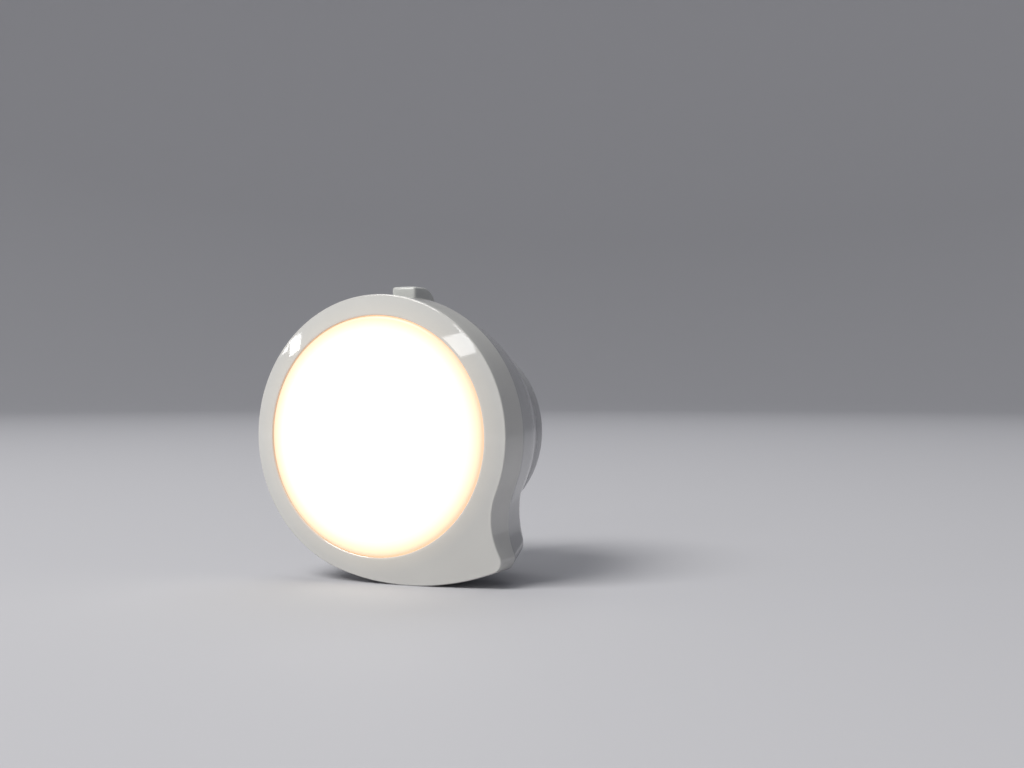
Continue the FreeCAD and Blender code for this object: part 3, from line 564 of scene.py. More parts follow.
def circle_like(points, radius):
    """The same number of points on a circle, each on the ray of its partner."""
    return [point.normalized() * radius for point in points]


def stack(name, rings, capped=False):
    """Joins rings of points in order: round from last to first, or with a face on each end."""
    count = len(rings[0])
    points = [point for ring in rings for point in ring]
    top = (len(rings) - 1) * count
    faces = [tuple(range(count))[::-1], tuple(range(top, top + count))] if capped else []
    for level in range(len(rings) - 1 if capped else len(rings)):
        after = (level + 1) % len(rings)
        for index in range(count):
            beside = (index + 1) % count
            faces.append((level * count + index, level * count + beside,
                          after * count + beside, after * count + index))
    return piece_from(name, points, faces)


def lift(points, depth):
    """Puts flat points at a depth in front of the socket, in metres. A list has one for each."""
    depths = depth if isinstance(depth, list) else [depth] * len(points)
    return [Vector((point.x, -each, point.y)) * MM for point, each in zip(points, depths)]


print("outline points:", len(outline(0)))

# %% [markdown]
# ## The front ring
#
# On the real lamp this is one glossy moulding with a soft edge all round. A
# cross section is carried round the outline: up the inside of the opening, over a
# slightly crowned front, round the outer edge, down the side wall and back inside.
# Mesh code does this best, because each ring of the section is the outline itself,
# drawn in by a different amount.

# %% Front ring
SPLIT = -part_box("front_shell")[1].y / MM
SIDE_DEPTH = 7.6
RING_FRONT = SPLIT + SIDE_DEPTH
RING_RISE = 1.0
OPENING = LENS_EDGE + 0.1
SLOPE = RING_RISE / (RING_RADIUS - LENS_EDGE)
CROWN = 0.03
LIP, LIP_STEPS = 0.25, 3
EDGE_ROUND = 0.3
SEAM_ROUND = 0.12
RING_BORE = 24.2
WEB = 1.4
WEB_BACK = RING_FRONT - WEB
ROUND_STEPS, FRONT_STEPS = 7, 12


def front_depth(point):
    """The front surface: a cone that falls away outward, with a faint crown."""
    reach = point.length
    across = (reach - OPENING) / (RING_RADIUS - OPENING)
    crown = CROWN * 4 * max(0.0, across * (1 - across)) if across < 1 else 0.0
    return RING_FRONT + RING_RISE - (reach - LENS_EDGE) * SLOPE + crown


# %% Ring sections
whole = outline(0)
inner = circle_like(whole, OPENING + LIP)
edge = outline(EDGE_ROUND)
edge_depths = [front_depth(point) for point in edge]
rings = [lift(circle_like(whole, OPENING), depth) for depth in (WEB_BACK, WEB_BACK + 0.6, WEB_BACK + WEB)]
for left, gone in quarter(LIP_STEPS):
    flat = circle_like(whole, OPENING + LIP * gone)
    rings.append(lift(flat, [front_depth(point) - LIP * left for point in flat]))
for step in range(1, FRONT_STEPS):
    flat = [one.lerp(other, step / FRONT_STEPS) for one, other in zip(inner, edge)]
    rings.append(lift(flat, [front_depth(point) for point in flat]))
for left, gone in quarter(ROUND_STEPS):
    rings.append(lift(outline(EDGE_ROUND * left), [depth - EDGE_ROUND * gone for depth in edge_depths]))
for share in (0.7, 0.4):
    rings.append(lift(whole, [SPLIT + (depth - EDGE_ROUND - SPLIT) * share for depth in edge_depths]))
rings += [
    lift(whole, SPLIT + SEAM_ROUND), lift(outline(SEAM_ROUND), SPLIT),
    lift(circle_like(whole, RING_BORE + 0.1), SPLIT), lift(circle_like(whole, RING_BORE), SPLIT + 0.1),
    lift(circle_like(whole, RING_BORE), WEB_BACK)]
finish_piece(stack("front_ring", rings), "ring_gloss", "front_shell")

# %% [markdown]
# ## The lens
#
# A turned shell: flange, straight skirt, a rounded shoulder and a shallow dome.
# `lathe` turns a profile of (radius, depth) points about the lamp's axis; points on
# the axis are welded into one, so the middle of the dome is closed.

# %% Lathe and lens


def lathe(name, profile, sides=160):
    """Turns a profile of (radius, depth) points, in millimetres, about the lamp's axis."""
    rings = []
    for radius, depth in profile:
        rings.append([Vector((radius * math.cos(2 * math.pi * side / sides), -depth,
                              radius * math.sin(2 * math.pi * side / sides))) * MM for side in range(sides)])
    return stack(name, rings)


def dome(rim, rim_depth, rise, steps):
    """Profile points of a dome from its rim to its crown."""
    radius = (rim ** 2 + rise ** 2) / (2 * rise)
    full = math.asin(rim / radius)
    points = []
    for step in range(steps + 1):
        angle = full * (1 - step / steps)
        points.append((radius * math.sin(angle), rim_depth + rise - radius * (1 - math.cos(angle))))
    return points


def rounded_corner(radius, depth, size, steps=6):
    """Profile points that turn from a side wall into a front face."""
    return [(radius - size * gone, depth - size * left) for left, gone in quarter(steps)]


LENS_FRONT = -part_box("lens")[0].y / MM
LENS_BACK = -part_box("lens")[1].y / MM
LENS_RIM = RING_FRONT + RING_RISE
LENS_WALL = 1.8
SHOULDER = 0.6
DOME_WALL = 0.9
lens_profile = [(LENS_EDGE - LENS_WALL, LENS_BACK), (LENS_EDGE + FLANGE, LENS_BACK),
                (LENS_EDGE + FLANGE, WEB_BACK), (LENS_EDGE, WEB_BACK)]
lens_profile += rounded_corner(LENS_EDGE, LENS_RIM, SHOULDER)
lens_rise = LENS_FRONT - LENS_RIM
lens_profile += dome(LENS_EDGE - SHOULDER, LENS_RIM, lens_rise, 28)[1:]
lens_profile += dome(LENS_EDGE - LENS_WALL, LENS_RIM - DOME_WALL, lens_rise - DOME_WALL, 20)[::-1]
finish_piece(lathe("opal_lens", lens_profile), "lens_opal", "lens")

# %% [markdown]
# ## The rear shell
#
# Behind the ring the body tapers to the plug, and the tail follows it, growing
# shorter and rounder until it sinks into the taper. At each depth the section is the
# larger of a circle and a smaller copy of the outline, blended where they meet. Every
# ring of points lies on the same rays from the axis, so the rings join without twist.

# %% Rear shell sections
REAR_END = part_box("plug_base")[1].x / MM + 0.3
REAR_BACK = -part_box("rear_shell")[1].y / MM
REAR_MID = (SPLIT + REAR_BACK) / 2
REAR_MID_RADIUS = RING_RADIUS - 2.05
KNEE_REACH = 3.0
SEAM_GAP = 0.1
SEAM_STEP = 0.01
TAIL_DEEP = SPLIT - 9.2
SHELL_WALL = 1.8
DEEP_ARCS = {"ring": 23.6, "tip": 2.4, "waist": 20.0, "sweep": 46.8, "across": 19.7, "up": -20.0}
FADED_ARCS = {"ring": 16.6, "tip": 2.4, "waist": 20.0, "sweep": 46.8, "across": 11.4, "up": -11.6}
KNEE_ROUND = 0.18
SUNK = 0.05
CROSSING, CROSSING_CLEAR = 0.35, 0.6
rays = [point.normalized() for point in outline(SEAM_GAP)]


def soft_knee(value, knee, before, after, reach):
    """A rise of one slope, then another, with the corner between them rounded."""
    offset = value - knee
    if offset <= -reach:
        return before * offset
    if offset >= reach:
        return after * offset
    return before * offset + (after - before) * (offset + reach) ** 2 / (4 * reach)


def taper_radius(depth):
    """The body's radius at a depth: two slopes with a soft belly between them."""
    before = (REAR_MID_RADIUS - REAR_END) / (REAR_MID - REAR_BACK)
    after = (RING_RADIUS - SEAM_GAP - REAR_MID_RADIUS) / (SPLIT - REAR_MID)
    overshoot = max(0.0, (after - before) * KNEE_REACH / 4)
    return REAR_MID_RADIUS + soft_knee(depth, REAR_MID, before, after, KNEE_REACH) - overshoot


def tail_arcs(depth):
    """The tail's outline at a depth, from the seam back to where it has faded."""
    seam_arcs = drawn_in(FRONT_ARCS, SEAM_GAP)
    front_share = (depth - TAIL_DEEP) / (SPLIT - TAIL_DEEP)
    arcs = {}
    for name in seam_arcs:
        ahead = seam_arcs[name] - DEEP_ARCS[name]
        behind = (DEEP_ARCS[name] - FADED_ARCS[name]) * (SPLIT - TAIL_DEEP) / (TAIL_DEEP - REAR_BACK - 1)
        knee = soft_knee(front_share, 0.0, behind, ahead, KNEE_ROUND)
        arcs[name] = DEEP_ARCS[name] + knee
    arcs["ring"] = min(arcs["ring"], taper_radius(depth) - SUNK)
    return arcs


def along_rays(points):
    """How far out a closed outline lies on each of the shared rays."""
    table = sorted((math.atan2(point.y, point.x), point.length) for point in points)
    table = [(table[-1][0] - 2 * math.pi, table[-1][1])] + table + [(table[0][0] + 2 * math.pi, table[0][1])]
    reaches = []
    for ray in rays:
        angle = math.atan2(ray.y, ray.x)
        index = next(i for i in range(1, len(table)) if table[i][0] >= angle)
        low, high = table[index - 1], table[index]
        share = (angle - low[0]) / max(1e-9, high[0] - low[0])
        reaches.append(low[1] + (high[1] - low[1]) * share)
    return reaches


def shell_section(depth, draw=0.0):
    """The larger of taper and tail on every ray, with a soft crossing."""
    circle = taper_radius(depth)
    section = []
    for ray, reach in zip(rays, along_rays(trace(tail_arcs(depth)))):
        gap = abs(circle - reach)
        soft = max(0.0, CROSSING - gap) ** 2 / (4 * CROSSING) if depth < SPLIT - CROSSING_CLEAR else 0.0
        section.append(ray * (max(circle, reach) + soft - draw))
    return section


# %% Rear shell
SPIGOT = RING_BORE - 0.1
SPIGOT_INNER = SPIGOT - 1.2
TRAY_RIM = -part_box("reflector_tray")[0].y / MM - 1.2
FLOOR_TOP = REAR_BACK + 1.8
FLOOR_OPENING = 12.6
SHELL_LEVELS = 26
TRUE_FROM = REAR_BACK + 0.2


def ring_at(radius, depth):
    """A circle on the shared rays."""
    return lift([ray * radius for ray in rays], depth)


rings = [ring_at(FLOOR_OPENING, REAR_BACK), ring_at(REAR_END - 1.5, REAR_BACK),
         lift(shell_section(REAR_BACK, 0.2), REAR_BACK), lift(shell_section(TRUE_FROM), TRUE_FROM)]
for level in range(1, SHELL_LEVELS):
    depth = TRUE_FROM + (SPLIT - SEAM_ROUND - TRUE_FROM) * level / SHELL_LEVELS
    rings.append(lift(shell_section(depth), depth))
rings += [lift(shell_section(SPLIT - SEAM_ROUND), SPLIT - SEAM_ROUND),
          lift(shell_section(SPLIT, SEAM_ROUND), SPLIT - SEAM_STEP)]
inside_top = SPLIT - SHELL_WALL
for radius, depth in (
        (SPIGOT, SPLIT - SEAM_STEP), (SPIGOT, TRAY_RIM), (SPIGOT_INNER, TRAY_RIM), (SPIGOT_INNER, inside_top),
        (taper_radius(inside_top) - SHELL_WALL, inside_top), (REAR_MID_RADIUS - SHELL_WALL, REAR_MID),
        (REAR_END - SHELL_WALL, FLOOR_TOP), (FLOOR_OPENING, FLOOR_TOP)):
    rings.append(ring_at(radius, depth))
rear = stack("rear_body", rings)
print("rear shell sections:", len(rings))

# %% [markdown]
# ## Cut-outs
#
# The button's hole and the slots for the blades are cut with Boolean modifiers, so
# the pieces really pass through their housings. The result is kept as a plain mesh.

# %% Cutting and joining


def oblong(wide, tall, corner, steps=6):
    """A rectangle with round corners, flat, about its own middle."""
    points = []
    for across, up, start in ((1, 1, 0), (-1, 1, 90), (-1, -1, 180), (1, -1, 270)):
        for step in range(steps + 1):
            angle = math.radians(start + 90 * step / steps)
            points.append(Vector((across * (wide / 2 - corner) + corner * math.cos(angle),
                                  up * (tall / 2 - corner) + corner * math.sin(angle))))
    return points


def carve(piece, cutters):
    """Subtracts each cutter and keeps the result as a plain mesh."""
    for cutter in cutters:
        modifier = piece.modifiers.new("cut", "BOOLEAN")
        modifier.operation = "DIFFERENCE"
        modifier.solver = "EXACT"
        modifier.object = cutter
    mesh = baked(piece)
    piece.modifiers.clear()
    piece.data = mesh
    for cutter in cutters:
        bpy.data.objects.remove(cutter)
    shade(mesh, 30)
    return piece


def join_all(name, pieces):
    """Several closed meshes as one piece."""
    work = bmesh.new()
    for piece in pieces:
        work.from_mesh(piece.data)
        bpy.data.objects.remove(piece)
    mesh = bpy.data.meshes.new(name)
    work.to_mesh(mesh)
    work.free()
    return link_mesh(name, mesh)


def upright_oblong(middle, wide, long, corner, height, steps=8):
    """An oblong lying flat at a height, across X and along Y, in metres."""
    return [Vector((middle.x + point.x, middle.y + point.y, height))
            for point in oblong(wide, long, corner, steps)]


# %% Button hole and guide
cap_low, cap_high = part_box("button_cap")
cap_middle = (cap_low + cap_high) / 2
CAP_FLANGE = 0.8 * MM
CAP_WIDE = cap_high.x - cap_low.x - 2 * CAP_FLANGE
CAP_LONG = cap_high.y - cap_low.y - 2 * CAP_FLANGE
CAP_GAP = 0.15 * MM
CORNER = 0.75 * MM
FLANGE_HIGH = 0.9 * MM
GUIDE_WALL = 1.6 * MM
guide_bottom = cap_low.z + FLANGE_HIGH
guide_top = guide_bottom + 0.9 * MM
hole_wide, hole_long = CAP_WIDE + 2 * CAP_GAP, CAP_LONG + 2 * CAP_GAP
cutter = stack("button_cutter", [
    upright_oblong(cap_middle, hole_wide, hole_long, CORNER, height)
    for height in (guide_bottom - 3 * MM, cap_high.z + 1 * MM)], capped=True)
carve(rear, [cutter])
guide_rings = [upright_oblong(cap_middle, hole_wide + 2 * wall, hole_long + 2 * wall, CORNER, height)
               for wall, height in ((0, guide_bottom), (GUIDE_WALL, guide_bottom),
                                    (GUIDE_WALL, guide_top), (0, guide_top))]
rear_body = join_all("rear_body", [rear, stack("guide", guide_rings)])
shade(rear_body.data, 30)
finish_piece(rear_body, "shell_gloss", "rear_shell")

# %% [markdown]
# ## The push button
#
# A small block just behind the ring: square at its front, with a long round at the
# top of its back so that a finger slides onto it. Its side profile is drawn once,
# widened into a block and given soft edges with a Bevel modifier.

# %% Button
BACK_REACH, BACK_DROP = 4.6 * MM, 3.0 * MM
BACK_STEPS = 16
EDGE_SOFT = 0.6 * MM
front_y, back_y = cap_middle.y - CAP_LONG / 2, cap_middle.y + CAP_LONG / 2
block_foot = guide_bottom - 0.3 * MM
profile = [(front_y, block_foot), (front_y, cap_high.z)]
profile += [(back_y - BACK_REACH * left, cap_high.z - BACK_DROP * gone) for left, gone in quarter(BACK_STEPS)]
profile.append((back_y, block_foot))


def bevelled(piece, width, segments=4, angle=40):
    """Softens the sharp edges and keeps the result as a plain mesh."""
    modifier = piece.modifiers.new("soft_edges", "BEVEL")
    modifier.width = width
    modifier.segments = segments
    modifier.limit_method = "ANGLE"
    modifier.angle_limit = math.radians(angle)
    mesh = baked(piece)
    piece.modifiers.clear()
    piece.data = mesh
    shade(mesh, 40)
    return piece


sides = [[Vector((cap_middle.x + side * CAP_WIDE / 2, along, up)) for along, up in profile]
         for side in (-1, 1)]
block = bevelled(stack("push_button", sides, capped=True), EDGE_SOFT)
collar = stack("button_collar", [
    upright_oblong(cap_middle, cap_high.x - cap_low.x, cap_high.y - cap_low.y, 0.4 * MM, height)
    for height in (cap_low.z, guide_bottom)], capped=True)
finish_piece(join_all("push_button", [block, collar]), "button_satin", "button_cap", body="button")
print("button: %.1f x %.1f mm" % (CAP_WIDE / MM, CAP_LONG / MM))

# %% [markdown]
# ## The plug base
#
# A turned cup with soft edges. Its flat face meets the socket, so it is plain but
# for a shallow moulded groove and the two slots that the blades come through.

# %% Plug base
BASE_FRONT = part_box("plug_base")[1].x / MM
BASE_BACK = BASE_FRONT - 1.3
BASE_WALL = 2.0
BASE_FLOOR = 2.5
BLADE_THICK, BLADE_WIDE = 1.63, 6.35
BLADE_CIRCLE, BLADE_TURN = 7.92, math.radians(30)
SLOT_GAP = 0.05
SLOT_CORNER = 0.2
GROOVE, GROOVE_DEEP = 15.2, 0.18
BASE_ROUND = 0.8
base_profile = [(0, 0), (GROOVE, 0), (GROOVE + 0.12, GROOVE_DEEP), (GROOVE + 0.48, GROOVE_DEEP),
                (GROOVE + 0.6, 0), (BASE_BACK - BASE_ROUND, 0)]
base_profile += [(BASE_BACK - BASE_ROUND * left, BASE_ROUND * gone)
                 for left, gone in quarter(ROUND_STEPS)[1:]]
base_profile += [(BASE_FRONT - 0.15, REAR_BACK - 0.2), (BASE_FRONT - 0.2, REAR_BACK - 0.05),
                 (BASE_FRONT - 0.35, REAR_BACK), (BASE_FRONT - BASE_WALL, REAR_BACK),
                 (BASE_BACK - BASE_WALL, BASE_FLOOR), (0, BASE_FLOOR)]


def blade_oblong(side, wide, thick, corner, y_mm, steps=3):
    """A blade's section at a place along the plug's axis, turned to its lean."""
    middle = Vector((side * BLADE_CIRCLE * math.cos(BLADE_TURN), BLADE_CIRCLE * math.sin(BLADE_TURN)))
    lean = Matrix.Rotation(side * BLADE_TURN, 2)
    section = [middle + lean @ point for point in oblong(thick, wide, corner, steps)]
    return [Vector((point.x, y_mm, point.y)) * MM for point in section]


slot_wide, slot_thick = BLADE_WIDE + 2 * SLOT_GAP, BLADE_THICK + 2 * SLOT_GAP
slot_cutters = []
for side in (1, -1):
    ends = [blade_oblong(side, slot_wide, slot_thick, SLOT_CORNER, y) for y in (-BASE_FLOOR - 1, 1)]
    slot_cutters.append(stack("slot_cutter", ends, capped=True))
cup = carve(lathe("base_cup", base_profile, 180), slot_cutters)
finish_piece(cup, "base_gloss", "plug_base")

# %% [markdown]
# ## Blades and sleeves
#
# A blade is stamped from strip: a tapered tip that finds its way into the socket, a
# thinner neck inside the black sleeve, a wide shoulder that the clamp holds down,
# and a tab that is soldered to the driver board.

# %% Blades
SLEEVE_END = 8.9
BLADE_END = 17.1
TIP_TAPER = 1.3
SHOULDER_BACK = -4.0
TAB_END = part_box("active_blade")[0].y / MM
SLEEVE_CORNER = 0.12
# A row is a place along the plug's axis, then the section's width, thickness and corner.
blade_sections = (
    (BLADE_END, 4.9, 0.7, 0.3), (BLADE_END - 0.25, 5.3, 0.95, 0.35), (BLADE_END - TIP_TAPER, 6.2, 1.5, 0.3),
    (BLADE_END - TIP_TAPER - 0.5, BLADE_WIDE, BLADE_THICK, 0.2), (SLEEVE_END, BLADE_WIDE, BLADE_THICK, 0.2),
    (SLEEVE_END, 5.0, 0.9, 0.1), (-BASE_FLOOR, 5.0, 0.9, 0.1), (-BASE_FLOOR, 8.4, BLADE_THICK, 0.2),
    (SHOULDER_BACK, 8.4, BLADE_THICK, 0.2), (SHOULDER_BACK, 2.8, 0.9, 0.1), (TAB_END, 2.8, 0.9, 0.1))
sleeve_sections = ((-BASE_FLOOR, 5.0, 0.9), (-BASE_FLOOR, BLADE_WIDE, BLADE_THICK),
                   (SLEEVE_END - 0.12, BLADE_WIDE, BLADE_THICK),
                   (SLEEVE_END, BLADE_WIDE - 0.16, BLADE_THICK - 0.16), (SLEEVE_END, 5.0, 0.9))
for name, side in (("active", 1), ("neutral", -1)):
    rings = [blade_oblong(side, wide, thick, corner, y) for y, wide, thick, corner in blade_sections]
    made = stack(name + "_pin", rings, capped=True)
    shade(made.data, 25)
    finish_piece(made, "blade_brass", name + "_blade")
    rings = [blade_oblong(side, wide, thick, SLEEVE_CORNER, y) for y, wide, thick in sleeve_sections]
    finish_piece(stack(name + "_insulation", rings), "sleeve_black", name + "_sleeve")

# %% [markdown]
# ## Geometry Nodes helpers
#
# What repeats is grown by a node tree with named inputs. The trees end in Realize
# Instances and Set Material, and the result is turned into a plain mesh at once.

# %% Tree helpers


class Grower:
    """A Geometry Nodes tree under construction."""

    def __init__(self, name, inputs):
        self.tree = bpy.data.node_groups.new(name, "GeometryNodeTree")
        self.tree.interface.new_socket("Geometry", in_out="INPUT", socket_type="NodeSocketGeometry")
        self.tree.interface.new_socket("Geometry", in_out="OUTPUT", socket_type="NodeSocketGeometry")
        for label, kind, value in inputs:
            socket = self.tree.interface.new_socket(label, in_out="INPUT", socket_type="NodeSocket" + kind)
            if kind != "Material":
                socket.default_value = value
        self.source = self.tree.nodes.new("NodeGroupInput")
        self.sink = self.tree.nodes.new("NodeGroupOutput")

    def add(self, kind, settings=(), **sockets):
        """A new node, with its settings and its inputs."""
        made = self.tree.nodes.new(kind)
        for key, value in dict(settings).items():
            setattr(made, key, value)
        for label, value in sockets.items():
            name = label.replace("_", " ")
            self.feed([item for item in made.inputs if item.name == name and item.enabled][0], value)
        return made

    def feed(self, socket, value):
        """An input takes the tree's named input, another node's output or a plain value."""
        if isinstance(value, str):
            self.tree.links.new(self.source.outputs[value], socket)
        elif isinstance(value, bpy.types.NodeSocket):
            self.tree.links.new(value, socket)
        else:
            socket.default_value = value

    def reckon(self, operation, first, second):
        made = self.add("ShaderNodeMath", {"operation": operation})
        self.feed(made.inputs[0], first)
        self.feed(made.inputs[1], second)
        return made.outputs[0]

    def times(self, first, second):
        return self.reckon("MULTIPLY", first, second)

    def vector(self, across=0.0, along=0.0, up=0.0):
        return self.add("ShaderNodeCombineXYZ", X=across, Y=along, Z=up).outputs[0]

    def moved(self, geometry, **sockets):
        """Geometry with a Translation, Rotation or Scale."""
        return self.add("GeometryNodeTransform", Geometry=geometry, **sockets).outputs[0]

    def sweep(self, path, section):
        """A section carried along a path, closed at both ends."""
        return self.add("GeometryNodeCurveToMesh", Curve=path.outputs[0], Profile_Curve=section.outputs[0],
                        Fill_Caps=True).outputs[0]

    def close(self, geometry):
        """Every tree ends the same way."""
        real = self.add("GeometryNodeRealizeInstances", Geometry=geometry)
        painted = self.add("GeometryNodeSetMaterial", Geometry=real.outputs[0], Material="Material")
        self.tree.links.new(painted.outputs[0], self.sink.inputs[0])
        print("tree %s: %d nodes" % (self.tree.name, len(self.tree.nodes)))


def grow(name, grower, values, seeds=((0, 0, 0),), turns=None):
    """Runs a tree on a cloud of seed points and keeps the plain mesh."""
    cloud = bpy.data.meshes.new(name + "_seeds")
    cloud.from_pydata([tuple(seed) for seed in seeds], [], [])
    if turns:
        cloud.attributes.new("turn", "FLOAT", "POINT").data.foreach_set("value", turns)
    holder = link_mesh(name + "_seeds", cloud)
    modifier = holder.modifiers.new("grow", "NODES")
    modifier.node_group = grower.tree
    for item in grower.tree.interface.items_tree:
        if item.item_type == "SOCKET" and item.in_out == "INPUT" and item.name in values:
            modifier[item.identifier] = values[item.name]
    mesh = baked(holder)
    mesh.name = name
    bpy.data.objects.remove(holder)
    return link_mesh(name, mesh)


# %% [markdown]
# ## Screws
#
# Every screw is a pan head with a crossed recess, and a shank with a real thread: a
# thin ridge wound round the core. The tree makes one screw and puts a copy on each
# seed point, so each set of screws is one short call.

# %% Screw tree
screw_tree = Grower("pan_head_screws", [
    ("Head Radius", "Float", 0.0017), ("Head Height", "Float", 0.0011), ("Core Radius", "Float", 0.0008),
    ("Shank Length", "Float", 0.003), ("Pitch", "Float", 0.0005), ("Material", "Material", None)])
head = screw_tree.add("GeometryNodeMeshCylinder", Vertices=40, Side_Segments=1, Fill_Segments=1,
                      Radius="Head Radius", Depth="Head Height")
head_up = screw_tree.moved(head.outputs["Mesh"],
                           Translation=screw_tree.vector(up=screw_tree.times("Head Height", 0.5)))

# %% Crossed recess
slot_long = screw_tree.times("Head Radius", 1.15)
slot_thin = screw_tree.times("Head Radius", 0.26)
bar_lift = screw_tree.vector(up=screw_tree.times("Head Height", 0.98))
recess = screw_tree.add("GeometryNodeMeshBoolean", {"operation": "DIFFERENCE"})
screw_tree.tree.links.new(head_up, recess.inputs[0])
for across, along in ((slot_long, slot_thin), (slot_thin, slot_long)):
    bar = screw_tree.add("GeometryNodeMeshCube", Size=screw_tree.vector(across, along, "Head Height"))
    screw_tree.tree.links.new(screw_tree.moved(bar.outputs["Mesh"], Translation=bar_lift), recess.inputs[1])

# %% Shank and thread
THREADED = 0.8
core = screw_tree.add("GeometryNodeMeshCylinder", Vertices=20, Side_Segments=1, Fill_Segments=1,
                      Radius="Core Radius", Depth="Shank Length")
core_down = screw_tree.moved(core.outputs["Mesh"],
                             Translation=screw_tree.vector(up=screw_tree.times("Shank Length", -0.5)))
turns = screw_tree.reckon("DIVIDE", "Shank Length", "Pitch")
thread = screw_tree.add("GeometryNodeCurveSpiral", Resolution=14, Rotations=screw_tree.times(turns, THREADED),
                        Start_Radius="Core Radius", End_Radius="Core Radius",
                        Height=screw_tree.times("Shank Length", THREADED))
ridge = screw_tree.add("GeometryNodeCurvePrimitiveCircle", Resolution=4,
                       Radius=screw_tree.times("Pitch", 0.2))
thread_down = screw_tree.moved(screw_tree.sweep(thread, ridge),
                               Translation=screw_tree.vector(up=screw_tree.times("Shank Length", -0.9)))
one_screw = screw_tree.add("GeometryNodeJoinGeometry")
for item in (recess.outputs[0], core_down, thread_down):
    screw_tree.tree.links.new(item, one_screw.inputs[0])
faced = screw_tree.moved(one_screw.outputs[0], Rotation=(math.radians(90), 0, 0))
copies = screw_tree.add("GeometryNodeInstanceOnPoints", Points="Geometry", Instance=faced)
screw_tree.close(copies.outputs[0])

# %% Screw sets
HEAD_HIGH = 1.1 * MM
HEAD_WIDE = 1.7 * MM
CORE_RADIUS, PITCH = 0.75 * MM, 0.5 * MM


def ring_of(radius, degrees, depth):
    """Places on a circle about the lamp's axis, in metres."""
    turns = [math.radians(each) for each in degrees]
    return [Vector((radius * math.cos(turn), -depth, radius * math.sin(turn))) for turn in turns]


POSTS = (30, 150, 270)
screw_sets = {
    "led_board_screws": ("light_board_screws", 15.6 * MM, POSTS),
    "base_screws": ("base_fixing_screws", 16.0 * MM, (90, 210, 330)),
    "clamp_screws": ("blade_clamp_screws", 10.0 * MM, (90, 270)),
    "board_screws": ("driver_board_screws", 15.0 * MM, POSTS),
}
for node, (name, circle, degrees) in screw_sets.items():
    low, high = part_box(node)
    seat = -low.y - HEAD_HIGH
    values = {"Head Radius": HEAD_WIDE, "Head Height": HEAD_HIGH, "Core Radius": CORE_RADIUS,
              "Shank Length": seat + high.y, "Pitch": PITCH, "Material": finishes["screw_steel"].material}
    made = grow(name, screw_tree, values, ring_of(circle, degrees, seat))
    shade(made.data)
    finish_piece(made, "screw_steel", node)

# %% [markdown]
# ## Coils
#
# The switch spring and the choke's copper winding are the same tree: a spiral with
# a round wire swept along it, closed at both ends.

# %% Coil tree
coil_tree = Grower("wound_wire", [
    ("Turns", "Float", 4.0), ("Coil Radius", "Float", 0.001), ("Height", "Float", 0.002),
    ("Wire Radius", "Float", 0.0001), ("Material", "Material", None)])
spiral = coil_tree.add("GeometryNodeCurveSpiral", Resolution=24, Rotations="Turns", Height="Height",
                       Start_Radius="Coil Radius", End_Radius="Coil Radius")
wire = coil_tree.add("GeometryNodeCurvePrimitiveCircle", Resolution=8, Radius="Wire Radius")
coil_tree.close(coil_tree.sweep(spiral, wire))

# %% [markdown]
# The switch spring is wound to fill the box of the solid that it stands for.

# %% Switch spring
spring_low, spring_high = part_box("switch_spring")
spring_middle = (spring_low + spring_high) / 2
SPRING_WIRE, SPRING_TURNS = 0.15 * MM, 3.0
spring = grow("button_spring", coil_tree, {
    "Turns": SPRING_TURNS, "Coil Radius": (spring_high.x - spring_low.x) / 2 - SPRING_WIRE,
    "Height": spring_high.z - spring_low.z - 2 * SPRING_WIRE, "Wire Radius": SPRING_WIRE,
    "Material": finishes["spring_steel"].material})
spring.data.transform(Matrix.Translation((spring_middle.x, spring_middle.y, spring_low.z + SPRING_WIRE)))
shade(spring.data, 60)
finish_piece(spring, "spring_steel", "switch_spring")
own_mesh(spring)

# %% Choke winding
WINDING_WIRE, WINDING_TURNS = 0.14 * MM, 16.0
NECK, NECK_LONG, CHEEK = 0.8, 0.66, 0.17
choke_low, choke_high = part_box("filter_inductor")
choke_middle = (choke_low + choke_high) / 2
choke_long = choke_high.y - choke_low.y
winding = grow("choke_winding", coil_tree, {
    "Turns": WINDING_TURNS, "Coil Radius": (choke_high.x - choke_low.x) / 2 * NECK + WINDING_WIRE,
    "Height": choke_long * NECK_LONG, "Wire Radius": WINDING_WIRE, "Material": copper})
winding.data.transform(Matrix.Rotation(math.radians(90), 4, "X"))
winding_foot = Vector((choke_middle.x, choke_high.y - choke_long * CHEEK, choke_middle.z))
winding.data.transform(Matrix.Translation(winding_foot))
shade(winding.data, 60)
finish_piece(winding, "blade_brass")

# %% [markdown]
# ## Light emitters
#
# Each emitter is a small white package with a well of yellow phosphor that bulges a
# little. Twelve are set in two circles, so one tree grows the packages and a second
# the domes, each turned to face along its own ray.

# %% Emitters
BOARD_FRONT = -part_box("led_board")[0].y
BOARD_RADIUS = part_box("led_board")[1].x
RING_INSET, CORE_INSET = 7.0 * MM, 13.0 * MM
LED_CIRCLES = ((BOARD_RADIUS - RING_INSET, 8), (BOARD_RADIUS - CORE_INSET, 4))
LED_WIDE, LED_LONG, LED_HIGH = 2.8 * MM, 3.5 * MM, 0.7 * MM
DOME_WIDE, DOME_FLAT, DOME_PLACE = 0.4, 0.18, 0.92


